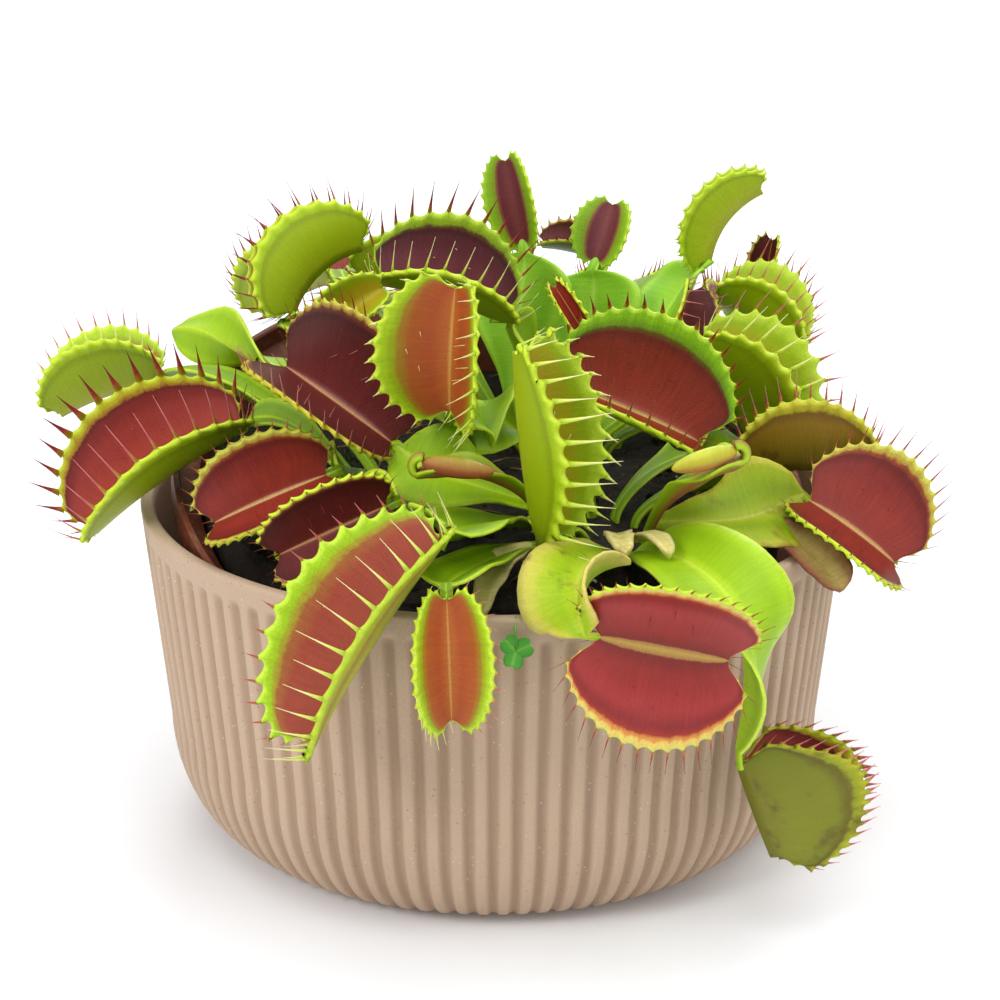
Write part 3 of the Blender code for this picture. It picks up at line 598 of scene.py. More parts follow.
TRAPS = (
    TrapLeaf("leaf_01_far_left", "trap_red", "left", (-34, -8, 78), (-42, -6, 72), (-67, -13, 56),
             (-0.3, -0.35, 0.85), 15.5, (38, 34), bristles=(PINK, DARK), fan=1.15, spines=(7.4, 5.6),
             lean=(0.9, 0.5), stout=(0.3, 0.62), spacing=1.35),
    TrapLeaf("leaf_02_behind_left", "trap_orange", "left", (-44, 8, 80), (-58, 12, 75), (-75, 11, 69),
             (0.0, 0.2, 0.9), 12, (40, 30), inside=Inside.ORANGE, bristles=(CREAM, PINK), spines=(1.6, 3.4),
             stout=(0.24, 0.2)),
    TrapLeaf("leaf_03_maroon_left", "trap_maroon", "right", (-8, -32, 71), (-16.5, -20, 74), (-34.5, -7, 83),
             (-0.2, -0.75, 0.6), 17, (21, 46), 7.5, Inside.MAROON, Outside.BROWNISH, Petiole.BRIGHT,
             (PINK, DARK), shows=(0, -0.5, 0.85), spines=(4.6, 4.2), lean=(0.8, 0.2), stout=(0.22, 0.2)),
    TrapLeaf("leaf_04_low_left", "trap_red", "left", (-26, -18, 72), (-27, -28.5, 71.5), (-45, -32, 64.5),
             (0.1, -0.8, 0.6), 11, (34, 52), inside=Inside.ROSE, outside=Outside.OLIVE,
             bristles=(FINE, BLUSH), spines=(1.5, 2.6), stout=(0.16, 0.2)),
    TrapLeaf("leaf_05_low_middle", "trap_maroon", "left", (-21, -28, 66), (-17, -39, 70), (-34, -42.5, 63),
             (0.1, -0.9, 0.4), 10, (48, 40), 5.5, Inside.MAROON, bristles=(FINE, BLUSH), spines=(1.5, 2.4),
             stout=(0.18, 0.2)),
    TrapLeaf("leaf_06_upright_orange", "trap_orange", "right", (1, -14, 84), (-7, -27, 82), (-6, -29, 103),
             (-0.6, -0.8, 0.1), 12, (45, 55), 7.5, Inside.ORANGE, bristles=(CREAM, CREAM), arch=10,
             spines=(1.4, 5.6), lean=(0.6, 1.1), stout=(0.34, 0.3), web=0.42, spacing=1.25),
    TrapLeaf("leaf_07_purple_back", "trap_maroon", "back", (8, 10, 80), (1, 8, 87), (-19, 6, 94),
             (0.1, -0.3, 0.95), 13.5, (40, 30), 8, Inside.PURPLE, bristles=(CREAM, DARK), spines=(5, 5.6),
             lean=(0.9, 0.5), stout=(0.24, 0.34), spacing=1.15),
    TrapLeaf("leaf_08_closed_left", "trap_red", "back", (-27, 18, 78), (-35.5, 16, 85), (-22.5, 22, 96),
             (-0.7, 0.0, 0.5), 11, (12, 12), arch=60, cup=30, spines=(3.6, 4.2), stout=(0.22, 0.22)),
    TrapLeaf("leaf_09_small_left", "trap_pale", "left", (-22, 2, 80), (-27, 1, 88), (-18.5, -2, 95),
             (0.3, -0.7, 0.6), 6, (40, 40), 3, Inside.PALE, bristles=(BLUSH, BLUSH), spines=(3, 3),
             stout=(0.18, 0.18)),
    TrapLeaf("leaf_10_pale_middle", "trap_pale", "right", (11, -36, 67), (7, -39, 66.5), (4, -41, 96),
             (0.72, -0.69, 0), 12.5, (16, 38), 2.5, Inside.PALE, bristles=(CREAM, CREAM), arch=-12, cup=25,
             spines=(7.4, 2.8), lean=(1.2, 0.8), stout=(0.42, 0.34), web=0.5, spacing=1.45),
    TrapLeaf("leaf_11_big_red", "trap_red", "right", (10, -10, 74), (12.5, -7, 79.5), (34, -13.5, 72),
             (0.1, -0.7, 0.55), 17, (55, 25), 7, Inside.BRICK, bristles=(DARK, BLUSH), fan=1.37,
             spines=(3, 6), lean=(0.6, 1.0), stout=(0.4, 0.26), web=0.36, spacing=1.25),
    TrapLeaf("leaf_12_green_right", "trap_pale", "right", (36, 6, 70), (46, 9, 62), (35, 11, 80),
             (0.65, -0.15, 0.7), 15, (30, 20), 5, Inside.PALE, bristles=(CREAM, PINK), arch=25,
             spines=(5.4, 4.2), lean=(0.5, 0.3), stout=(0.36, 0.28), web=0.45, spacing=1.3),
    TrapLeaf("leaf_13_olive_right", "trap_orange", "right", (38, -10, 64), (43, -10, 66.5), (62, -12, 66.5),
             (0, 0.3, 0.95), 12, (30, 30), inside=Inside.ORANGE, outside=Outside.BROWNISH,
             bristles=(PINK, DARK), spines=(4, 2), stout=(0.24, 0.2)),
    TrapLeaf("leaf_14_red_right", "trap_red", "right", (38, -38, 64), (52, -20, 64), (66, -24, 54.5),
             (0.5, -0.62, 0.58), 15, (55, 52), 9, Inside.ROSE, petiole=Petiole.OLIVE, bristles=(FINE, FINE),
             fan=1.35, shows=(0, -0.45, 0.9), spines=(4.4, 2.2), lean=(0.1, 0.3), stout=(0.2, 0.18)),
    TrapLeaf("leaf_15_front", "trap_maroon", "right", (8, -68, 70), (16, -67, 59), (36, -67, 55),
             (0.1, -1, -0.1), 15, (62, 62), 9, Inside.GOLDEN, petiole=Petiole.YELLOWING,
             bristles=(FINE, FINE), arch=10, fan=1.45, shoulder=2.2, shows=(0, -0.8, 0.6), spines=(3.4, 3.6),
             lean=(0.1, 0.05), stout=(0.2, 0.2)),
    TrapLeaf("leaf_16_long_front", "trap_orange", "right", (-8, -42, 67), (-8, -57, 71), (-28, -69, 42.5),
             (-0.73, -0.1, 0.66), 14.5, (64, 16), 8, Inside.FLAME, Outside.LINED, Petiole.FRESH,
             (CREAM, PINK), arch=12, fan=1.15, spines=(6.6, 2.6), lean=(1.3, 1.0), stout=(0.34, 0.28),
             web=0.45, spacing=1.4),
    TrapLeaf("leaf_17_small_front", "trap_orange", "right", (-8, -52, 64), (-7, -67, 65), (-6.3, -69, 46),
             (0, -1, 0), 7.5, (62, 42), 5.5, Inside.ORANGE, bristles=(PINK, CREAM), arch=10, spines=(2.2, 3),
             lean=(0.1, 1.2), stout=(0.16, 0.18)),
    TrapLeaf("leaf_18_hanging", "trap_pale", "right", (48, -76, 72), (40, -50.5, 31), (46, -51, 14.5),
             (0.93, 0, 0.36), 18, (10, 10), 9, Inside.RED, Outside.OLIVE, Petiole.BRIGHT, (PINK, PINK), -5,
             30, 1.4, shoulder=1.35, shows=(0, -0.5, 0.85), spines=(2.2, 2.2), lean=(0.2, 0.2),
             stout=(0.36, 0.36), web=0.45),
    TrapLeaf("leaf_19_tall_closed", "trap_pale", "back", (32, 33, 88), (37, 34, 89), (47, 34, 103),
             (-0.8, 0, 0.5), 6, (8, 8), 8.5, Inside.PALE, petiole=Petiole.JADE, bristles=(CREAM, CREAM),
             arch=60, cup=22, spines=(0.7, 0.7), stout=(0.3, 0.3)),
    TrapLeaf("leaf_20_tall_tip", "trap_red", "back", (4, 26, 84), (5, 30, 94), (2, 32, 108),
             (-0.4, -0.9, 0.1), 5, (64, 64), 10.5, Inside.TIPPED, petiole=Petiole.JADE, arch=10,
             spines=(0, 0)),
    TrapLeaf("leaf_21_back_small", "trap_maroon", "back", (18, 32, 80), (18, 36, 89), (21, 40, 98),
             (-0.4, -0.9, 0.2), 5.5, (66, 66), 10.5, Inside.TIPPED, petiole=Petiole.JADE, arch=10,
             spines=(0, 0)),
    TrapLeaf("leaf_22_back_low", "trap_maroon", "back", (12, 42, 78), (18, 46, 87), (9, 46, 89),
             (0, -0.3, 0.9), 5, (40, 40), 4, Inside.MAROON, Outside.OLIVE, spines=(0.8, 0.8)),
    TrapLeaf("leaf_23_back_maroon", "trap_maroon", "back", (28, 12, 70), (30, 20, 78), (34, 24, 87),
             (0.5, -0.6, 0.3), 7, (35, 35), 6.5, Inside.MAROON, bristles=(PINK, PINK), spines=(4, 4),
             lean=(1.0, 1.0), stout=(0.2, 0.2)),
    TrapLeaf("leaf_24_back_right", "trap_pale", "back", (42, 22, 66), (52, 29, 75), (40, 32, 83),
             (0.55, -0.1, 0.7), 11, (36, 32), 5, Inside.PALE, bristles=(PINK, PINK), spines=(3.4, 4.4),
             lean=(0.5, 1.0), stout=(0.22, 0.2), web=0.4),
    TrapLeaf("leaf_25_young_centre", "trap_red", "back", (15, 3, 74), (16, 3, 84.5), (10.5, 5, 93),
             (0.2, -1, 0.1), 3, (30, 30), 3, petiole=Petiole.BLUSHED, spines=(1.2, 1.2), stout=(0.2, 0.2)),
    TrapLeaf("leaf_26_young_right", "trap_red", "right", (31, -40, 78), (38, -41, 81), (28, -44, 79),
             (0, 0, -1), 2.4, (10, 10), 4.2, outside=Petiole.BEAN_YELLOW, petiole=Petiole.BLUSHED, arch=10,
             cup=70, hook=150),
    TrapLeaf("leaf_27_young_left", "trap_red", "right", (2.5, -34.5, 79), (-11, -38, 78), (0, -40, 77),
             (0, 0, -1), 2.4, (10, 10), 3.6, outside=Petiole.BEAN_RUST, petiole=Petiole.BLUSHED, arch=10,
             cup=70, hook=150),
    TrapLeaf("leaf_28_back_tiny", "trap_maroon", "back", (48, 38, 70), (49, 45, 81), (50, 45, 90),
             (-0.5, -0.8, 0), 4, (40, 40), 3, Inside.MAROON, spines=(1, 1), stout=(0.2, 0.2)),
    TrapLeaf("leaf_29_behind_purple", "trap_pale", "back", (-14, 28, 80), (-8, 31, 86), (-24, 30, 88),
             (0.1, 0.6, 0.8), 8, (35, 35), 3, Inside.PALE, spines=(1, 2)),
    TrapLeaf("leaf_31_rear_left", "trap_red", "back", (-27, 40, 84), (-29, 49, 82), (-42, 60, 72),
             (-0.3, 0.5, 0.8), 12, (42, 42), stout=(0.26, 0.26)),
    TrapLeaf("leaf_32_rear_middle", "trap_maroon", "back", (4, 48, 84), (0, 56, 78), (-8, 74, 67),
             (0, 0.5, 0.85), 13, (45, 45), 6, Inside.MAROON, stout=(0.26, 0.26)),
    TrapLeaf("leaf_33_rear_right", "trap_red", "back", (40, 40, 84), (43, 51, 75), (52, 63, 62),
             (0.2, 0.6, 0.8), 12, (42, 42), stout=(0.26, 0.26)),
    TrapLeaf("leaf_34_rear_low", "trap_orange", "back", (30, 52, 86), (24, 66, 74), (24, 76, 60),
             (0, 0.8, 0.4), 11, (45, 45), 6, Inside.ORANGE, stout=(0.26, 0.26)),
)

BLADES = (
    BladeLeaf("leaf_35_round_left", "left", (-39, 16, 84), (-56, 25, 79), (0.1, -0.7, 0.7), 5.5, 0.86),
)

SCRAPS = (
    Scrap("dry_leaf_right", ((42, -24, 61), (48, -30, 62.5), (53, -35, 60.5), (56, -38, 55)),
          (0.2, -0.5, 0.8), 4.5, Petiole.DRY, 0.6, 0.4),
    Scrap("withered_leaf_a", ((20, -30, 61), (20, -35, 64), (20, -40, 65.5), (21, -45, 64)), (0, -0.5, 0.9),
          2.2),
    Scrap("withered_leaf_b", ((23, -30, 61), (25, -35, 64), (27, -39, 65), (28, -43, 63)), (0.2, -0.5, 0.9),
          1.8),
    Scrap("withered_leaf_c", ((6, -36, 62), (2, -44, 64), (-1, -50, 63), (-2, -55, 57)), (-0.2, -0.5, 0.9),
          2.4),
    Scrap("withered_leaf_d", ((36, -36, 61), (40, -40, 62), (43, -44, 61), (45, -48, 58)), (0.2, -0.5, 0.9),
          2.0),
)


@dataclass
class Rosette:
    """All leaves, each grown from its crown as its solid is."""

    soil_height: float = 60.0
    soil_slope: tuple[float, float] = (-0.03, 0.09)
    root_spacing: float = 4.1
    stub_length: float = 4.0
    neck: float = 1.0
    neck_length: float = 2.0
    hook_radius: float = 1.8
    hook_steps: int = 9
    pod_half: tuple[float, float] = (1.55, 1.75)
    neck_offset: tuple[float, float] = (1.2, 0.9)  # of the neck's end, into the trap and under it
    edge_lift: float = 0.25
    lobe_thickness: float = 0.8
    spine_gap: float = 2.25
    rows: int = 14
    per_gap: int = 6
    spine_rings: int = 4
    spine_sides: int = 6
    spine_root: float = 0.45
    spine_tip: float = 0.04
    spine_flatness: float = 0.7
    hair_height: float = 2.2
    end_share: float = 0.012
    row_crowding: float = 0.25
    cusp_power: float = 2.3
    web_from: float = 0.84
    web_band: float = 0.16
    ripple_share: float = 0.03
    strip_cells: int = 6
    stalk_steps: int = 30
    blade_steps: int = 36
    scrap_steps: int = 24

    def level(self, x: float, y: float) -> float:
        """Height of the soil at a point."""
        return self.soil_height + self.soil_slope[0] * x + self.soil_slope[1] * y

    def roots(self) -> dict[str, tuple[float, float]]:
        """Each leaf's root on its crown's ring, in the order of the directions that the leaves take."""
        found: dict[str, tuple[float, float]] = {}
        for crown, centre in CROWNS.items():
            members = [leaf for leaf in (*TRAPS, *BLADES) if leaf.crown == crown]

            def direction(leaf: TrapLeaf | BladeLeaf) -> float:
                """Bearing of a leaf's curve from its crown."""
                return math.atan2(leaf.via[1] - centre[1], leaf.via[0] - centre[0])

            members.sort(key=direction)
            ring = self.root_spacing * len(members) / math.tau
            step = math.tau / len(members)
            first = sum(direction(leaf) - step * place for place, leaf in enumerate(members)) / len(members)
            for place, leaf in enumerate(members):
                turn = first + step * place
                found[leaf.node] = (centre[0] + ring * math.cos(turn), centre[1] + ring * math.sin(turn))
        return found

    @staticmethod
    def axes(leaf: TrapLeaf) -> tuple[Vector, Vector, Vector]:
        """Unit vectors along a trap's midrib, across it and out of its mouth."""
        along = (Vector(leaf.tip) - Vector(leaf.base)).normalized()
        mouth = Vector(leaf.faces)
        mouth = (mouth - along * mouth.dot(along)).normalized()
        return along, mouth.cross(along), mouth

    @staticmethod
    def lobe_point(leaf: TrapLeaf, p: float, q: float, side: int) -> Vector:
        """A point of a lobe in the trap's own axes.

        Args:
            leaf: the leaf.
            p: -1 at the trap's start to 1 at its tip.
            q: 0 on the midrib to 1 at the rim's middle.
            side: 1 for the first lobe and -1 for the second.

        Returns:
            The place along the midrib, across it and out of the mouth.
        """
        length = (Vector(leaf.tip) - Vector(leaf.base)).length
        x = p * (1 + (leaf.fan - 1) * smooth(q / 0.4)) * length / 2
        start = math.radians(leaf.opening[0 if side > 0 else 1] + leaf.cup)
        bend = -math.radians(2 * leaf.cup)
        turn = start + bend * q
        y = side * leaf.depth / bend * (math.cos(start) - math.cos(turn))
        z = leaf.depth / bend * (math.sin(turn) - math.sin(start))
        half = math.radians(leaf.arch) / 2
        radius = length / 2 / math.sin(half)
        t = x / radius
        along = (radius + z) * math.sin(t) + radius * math.sin(half)
        out = (radius + z) * math.cos(t) - radius * math.cos(half)
        return Vector((along, y, out))

    def lobe_place(self, leaf: TrapLeaf, p: float, q: float, side: int) -> Vector:
        """A point of a lobe in the object's frame, from the same arguments as lobe_point."""
        return Matrix(self.axes(leaf)).transposed() @ self.lobe_point(leaf, p, q, side) + Vector(leaf.base)

    @staticmethod
    def new_mesh() -> tuple[bmesh.types.BMesh, dict[str, object]]:
        """An empty bmesh with the layers that the skins read."""
        bm = bmesh.new()
        return bm, {"reach": bm.verts.layers.float.new("reach"), "grain": bm.loops.layers.uv.new("grain")}

    def lobes(self, leaf: TrapLeaf, chance: random.Random) -> tuple[bmesh.types.BMesh, dict, list[Spot]]:
        """Both lobes as one closed skin, and where the spines stand.

        Args:
            leaf: the leaf.
            chance: source of its small irregularities.

        Returns:
            The bmesh in millimetres, its layers and the spots of its spines.
        """
        bm, layers = self.new_mesh()
        length = (Vector(leaf.tip) - Vector(leaf.base)).length
        rim_length = math.pi * math.sqrt(((length * leaf.fan / 2) ** 2 + leaf.depth**2) / 2)
        gap = self.spine_gap * leaf.spacing * min(1.0, 0.55 + leaf.depth / 30)
        gaps = max(7, round(rim_length / gap))
        columns = gaps * self.per_gap
        rows = self.rows if leaf.depth > 8 else 8
        bmesh.ops.create_grid(bm, x_segments=columns, y_segments=2 * rows, size=1.0)
        mouth = self.axes(leaf)[2]
        drift = Vector((chance.uniform(0, 50), chance.uniform(0, 50), chance.uniform(0, 50)))
        place: dict[bmesh.types.BMVert, tuple[int, int]] = {}
        cusp = leaf.web * rim_length / gaps
        for vert in bm.verts:
            column, row = round((vert.co.x + 1) / 2 * columns), round(vert.co.y * rows)
            share = self.end_share + (1 - 2 * self.end_share) * column / columns
            v = abs(row) / rows
            v = v + self.row_crowding * v * (1 - v)
            phase = abs(2 * (column / self.per_gap % 1) - 1)
            web = cusp * phase**self.cusp_power * math.sin(math.pi * share) ** 0.3
            web = web * smooth((v - self.web_from) / self.web_band)
            grow = 1 + web / leaf.depth
            p, q = -math.cos(math.pi * share) * (grow if v > 0.8 else 1), v * math.sin(math.pi * share) * grow
            side = 1 if row >= 0 else -1
            ripple = noise.noise(Vector((p * 1.6, q * 1.6 * side, 0)) + drift)
            ripple = ripple * leaf.depth * self.ripple_share * smooth(v * 1.5)
            vert.co = self.lobe_place(leaf, p, q, side) + mouth * ripple
            vert[layers["reach"]] = v
            place[vert] = (column, row)
        for face in bm.faces:
            for loop in face.loops:
                column, row = place[loop.vert]
                loop[layers["grain"]].uv = (column / columns * rim_length, row / rows * leaf.depth)
        bm.normal_update()
        inner = bm.faces[:]
        if sum(face.normal.dot(mouth) for face in inner) < 0:
            bmesh.ops.reverse_faces(bm, faces=inner)
            bm.normal_update()
        spots = self.spots({place[vert]: vert for vert in bm.verts}, gaps, rows)
        normals = {vert: vert.normal.copy() for vert in bm.verts}
        thick = {vert: self.thickness(place[vert], rows, leaf) for vert in bm.verts}
        middle = {vert: place[vert][1] == 0 for vert in bm.verts}
        miter = max(0.5, math.sin(math.radians(sum(leaf.opening) / 2 + leaf.cup)))
        for copy, source in doubled(bm):
            copy.co -= normals[source] * thick[source] / (miter if middle[source] else 1.0)
        inner_set = set(inner)
        for face in bm.faces:
            face.material_index = 0 if face in inner_set else 1
        finish_faces(bm)
        return bm, layers, spots

    def spots(self, ring: dict[tuple[int, int], bmesh.types.BMVert], gaps: int, rows: int) -> list[Spot]:
        """The roots of the spines, one at each cusp of either rim.

        Args:
            ring: the grid's vertices by column and row.
            gaps: how many gaps there are between the spines of a lobe.
            rows: how many rows a lobe has.

        Returns:
            The spots, in pairs from the trap's start to its tip.
        """
        found = []
        last = gaps * self.per_gap
        for k in range(gaps + 1):
            for lobe, side in enumerate((1, -1)):
                column = k * self.per_gap
                vert = ring[(column, side * rows)]
                below = ring[(column, side * (rows - 2))]
                before = ring[(max(0, column - 1), side * rows)]
                after = ring[(min(last, column + 1), side * rows)]
                strength = math.sin(math.pi * min(0.97, max(0.03, k / gaps))) ** 0.35
                found.append(Spot(vert.co.copy(), (vert.co - below.co).normalized(),
                                  (after.co - before.co).normalized(), vert.normal.copy(), strength, lobe))
        return found

    def thickness(self, place: tuple[int, int], rows: int, leaf: TrapLeaf) -> float:
        """Wall of a lobe at a grid point: fleshy, slim towards the rim, with a bead under each spine."""
        v = abs(place[1]) / rows
        full = self.lobe_thickness * (1.0 if leaf.depth > 8 else 0.8)
        phase = abs(2 * (place[0] / self.per_gap % 1) - 1)
        bead = 0.45 * phase**1.5 * smooth((v - 0.86) / 0.07) * smooth((1.04 - v) / 0.08)
        return full * (1.15 - 0.45 * v) + bead * (1.0 if max(leaf.spines) > 0.5 else 0.0)

    def spine(self, bm: bmesh.types.BMesh, layers: dict, spot: Spot, leaf: TrapLeaf,
              chance: random.Random) -> None:
        """Grow one spine out of the rim.

        Args:
            bm: mesh that takes it.
            layers: its layers.
            spot: where it stands.
            leaf: the leaf.
            chance: source of its small irregularities.
        """
        place, outward, tangent, normal, strength, lobe = spot
        mouth = self.axes(leaf)[2]
        tall = leaf.spines[lobe] * (0.3 + 0.7 * strength) * chance.uniform(0.85, 1.12)
        inward = (mouth + normal).normalized() * leaf.lean[lobe]
        lean = (outward + inward + tangent * chance.uniform(-0.12, 0.12)).normalized()
        curl = (normal * chance.uniform(0.04, 0.22) + mouth * 0.06) * tall
        wide = leaf.stout[lobe] * (0.35 + 0.65 * strength)
        thick = lean.cross(tangent).normalized()
        start = place - outward * self.spine_root - normal * self.lobe_thickness * 0.35
        tall += self.spine_root
        levels, edges = rod(bm, self.spine_sides, self.spine_rings)
        for step, verts in enumerate(levels):
            t = step / self.spine_rings
            taper = 1.35 * (1 - t) ** 2.2 * 0.6 + 0.5 * (1 - t) ** 0.7
            centre = start + lean * tall * t + curl * t * t
            half = max(self.spine_tip, wide * taper)
            flat = max(self.spine_tip, wide * self.spine_flatness * taper)
            for vert in verts:
                vert.co = centre + tangent * vert.co.x * half + thick * vert.co.y * flat
                vert[layers["reach"]] = t
        bmesh.ops.contextual_create(bm, geom=edges)
        for face in {face for verts in levels for vert in verts for face in vert.link_faces}:
            face.material_index = 2 + lobe
            face.smooth = True
            for loop in face.loops:
                loop[layers["grain"]].uv = (loop.vert.co.x, loop.vert.co.z)

    def hairs(self, bm: bmesh.types.BMesh, layers: dict, leaf: TrapLeaf) -> None:
        """Three fine trigger hairs on each lobe."""
        along, _, mouth = self.axes(leaf)
        for side in (1, -1):
            for p, q in ((-0.22, 0.42), (0.22, 0.42), (0.0, 0.6)):
                foot = self.lobe_place(leaf, p, q, side)
                up = (self.lobe_place(leaf, p, q + 0.05, side) - foot).cross(along).normalized()
                if up.dot(mouth) < 0:
                    up.negate()
                matrix = Matrix.Translation(foot + up * 0.9) @ up.to_track_quat("Z", "Y").to_matrix().to_4x4()
                cone = bmesh.ops.create_cone(bm, cap_ends=True, segments=5, radius1=0.09, radius2=0.02,
                                             depth=self.hair_height, matrix=matrix)["verts"]
                for vert in cone:
                    vert[layers["reach"]] = 0.7
                for face in {face for vert in cone for face in vert.link_faces}:
                    face.material_index = 2

    @staticmethod
    def piece(name: str, bm: bmesh.types.BMesh, skins: Iterable[Enum], slot: str,
              *nodes: str) -> bpy.types.Object:
        """Turn a bmesh in millimetres into a riding piece with its skins."""
        return add_piece(name, bm, [skin.value.material() for skin in skins], slot, *nodes)

    def trap(self, leaf: TrapLeaf, chance: random.Random) -> bpy.types.Object:
        """The trap of a leaf: lobes, spines and trigger hairs."""
        bm, layers, spots = self.lobes(leaf, chance)
        for spot in spots:
            if leaf.spines[spot.lobe]:
                self.spine(bm, layers, spot, leaf, chance)
        if leaf.depth > 9:
            self.hairs(bm, layers, leaf)
        skins = (leaf.inside, leaf.outside, *leaf.bristles)
        return self.piece(leaf.node.replace("leaf", "trap"), bm, skins, leaf.slot, leaf.node)

    def pod(self, leaf: TrapLeaf) -> bpy.types.Object:
        """A young trap, still shut: a bean folded back over its stalk."""
        bm, layers = self.new_mesh()
        along, across, mouth = self.axes(leaf)
        length = (Vector(leaf.tip) - Vector(leaf.base)).length
        bmesh.ops.create_uvsphere(bm, u_segments=28, v_segments=20, radius=1.0)
        turn = Matrix((across, mouth, along)).transposed()
        middle = (Vector(leaf.base) + Vector(leaf.tip)) / 2 + mouth * leaf.depth * 0.45
        for vert in bm.verts:
            t = vert.co.z
            seam = 1 - 0.12 * math.exp(-((vert.co.x / 0.12) ** 2)) * (vert.co.y > 0)
            bulge = 1 - 0.15 * t
            vert[layers["reach"]] = 0.5 - 0.5 * vert.co.y
            wide, tall = self.pod_half
            scaled = Vector((vert.co.x * wide * bulge, vert.co.y * seam * tall * bulge, t * length * 0.52))
            vert.co = turn @ scaled + middle
        for face in bm.faces:
            for loop in face.loops:
                loop[layers["grain"]].uv = (loop.vert.co.x, loop.vert.co.z)
        finish_faces(bm)
        return self.piece(leaf.node.replace("leaf", "pod"), bm, (leaf.outside,), leaf.slot, leaf.node)

    def path(self, root: tuple[float, float], via: Point, end: Vector, across: Vector, shows: Point,
             steps: int) -> list[Station]:
        """The stations of a stalk.

        Args:
            root: where it leaves the soil.
            via: point that bends its curve.
            end: where it ends.
            across: its side at its end.
            shows: the way its face looks at its root.
            steps: how many steps it takes.

        Returns:
            The stations from the root, at 0, to the end, at 1.
        """
        start = Vector((*root, self.level(*root)))
        heading = Vector((end.x - start.x, end.y - start.y, 0))
        heading = heading.normalized() if heading.length > 1 else Vector((0, -1, 0))
        flat = Vector(shows).cross(heading)
        points = [start, start + Vector((0, 0, 6)), Vector(via), end]
        found = []
        for step in range(steps + 1):
            t = step / steps
            centre = curve_point(points, t)
            ahead = curve_heading(points, t)
            level = (flat - ahead * flat.dot(ahead)).normalized()
            goal = (across - ahead * across.dot(ahead)).normalized()
            angle = math.atan2(ahead.dot(level.cross(goal)), level.dot(goal))
            side = Quaternion(ahead, angle * smooth((t - 0.5) / 0.45)) @ level
            found.append(Station(centre, side, ahead.cross(side), t))
        return found

    def stub(self, stations: Sequence[Station]) -> Station:
        """The end of a stalk that stands in the soil."""
        first = stations[0]
        return Station(first.centre - Vector((0, 0, self.stub_length)), first.side, first.up, 0.0)

    def strip(self, stations: Sequence[Station], width: Callable[[float], float], chance: random.Random,
              wave: float) -> bmesh.types.BMesh:
        """A leaf-like strip along stations, closed and thicker on its midrib.

        Args:
            stations: centre, side, upward vector and share of the way of each station.
            width: half width at a share of the way.
            chance: source of its irregularities.
            wave: how high its edges wave.

        Returns:
            The bmesh in millimetres.
        """
        bm, layers = self.new_mesh()
        count = len(stations) - 1
        bmesh.ops.create_grid(bm, x_segments=count, y_segments=2 * self.strip_cells, size=1.0)
        drift = chance.uniform(0, 60)
        place, ups = {}, {}
        for vert in bm.verts:
            centre, side, up, t = stations[round((vert.co.x + 1) / 2 * count)]
            half = width(t)
            a = round(vert.co.y * self.strip_cells) / self.strip_cells
            bigness = smooth((half - 1.2) / 2.5)
            ragged = 1 + 0.06 * bigness * noise.noise(Vector((t * 9, drift, a > 0)))
            lift = abs(a) * half * self.edge_lift
            lift += abs(a) ** 2 * bigness * wave * math.sin(t * 17 + drift + a)
            crease = -0.12 * bigness * half * (1 - abs(a)) ** 3
            vert.co = centre + side * (a * half * ragged) + up * (lift + crease)
            vert[layers["reach"]] = abs(a)
            place[vert] = (t, a, half)
            ups[vert] = up
        run = sum((after.centre - before.centre).length for before, after in zip(stations, stations[1:]))
        for face in bm.faces:
            for loop in face.loops:
                t, a, half = place[loop.vert]
                loop[layers["grain"]].uv = (t * run, a * half * 1.4)
        for copy, source in doubled(bm):
            t, a, half = place[source]
            flat = smooth((half - 1.1) / 1.8)
            round_part = (1 - flat) * 0.72 * math.sqrt(max(0.03, 1 - a * a))
            copy.co -= ups[source] * (round_part + flat * (0.3 + 0.9 * (1 - abs(a)) ** 2))
            source.co += ups[source] * (round_part + flat * 0.25)
        finish_faces(bm)
        return bm

    def stalk_end(self, leaf: TrapLeaf) -> list[tuple[Vector, Vector, Vector]]:
        """The neck behind a trap, from the trap back to where the stalk ends."""
        along, across, mouth = self.axes(leaf)
        base = Vector(leaf.base)
        if not leaf.hook:
            into, under = self.neck_offset
            inner_end, outer_end = base + along * into - mouth * under, base - along * self.neck_length
            return [(inner_end, across, mouth), (outer_end, across, mouth)]
        found = []
        for step in range(self.hook_steps + 1):
            turn = math.radians(leaf.hook * step / self.hook_steps)
            centre = base + self.hook_radius * (mouth * (1 - math.cos(turn)) - along * math.sin(turn))
            ahead = along * math.cos(turn) - mouth * math.sin(turn)
            found.append((centre, across, ahead.cross(across)))
        return found

    def stalk(self, leaf: TrapLeaf, root: tuple[float, float], chance: random.Random) -> bpy.types.Object:
        """The winged stalk of a leaf, from its stub in the soil to its trap."""
        neck = self.stalk_end(leaf)
        across = self.axes(leaf)[1]
        stations = self.path(root, leaf.via, neck[-1][0], across, leaf.shows, self.stalk_steps)
        finish = [Station(centre, side, up, 1.0) for centre, side, up in reversed(neck[:-1])]

        def width(t: float) -> float:
            """Half width of the winged stalk."""
            return self.neck + (leaf.wing - self.neck) * max(0.0, math.sin(math.pi * t**leaf.shoulder)) ** 0.8

        bm = self.strip([self.stub(stations), *stations, *finish], width, chance, wave=0.35)
        return self.piece(leaf.node.replace("leaf", "stalk"), bm, (leaf.petiole,), "leaf_plain", leaf.node)

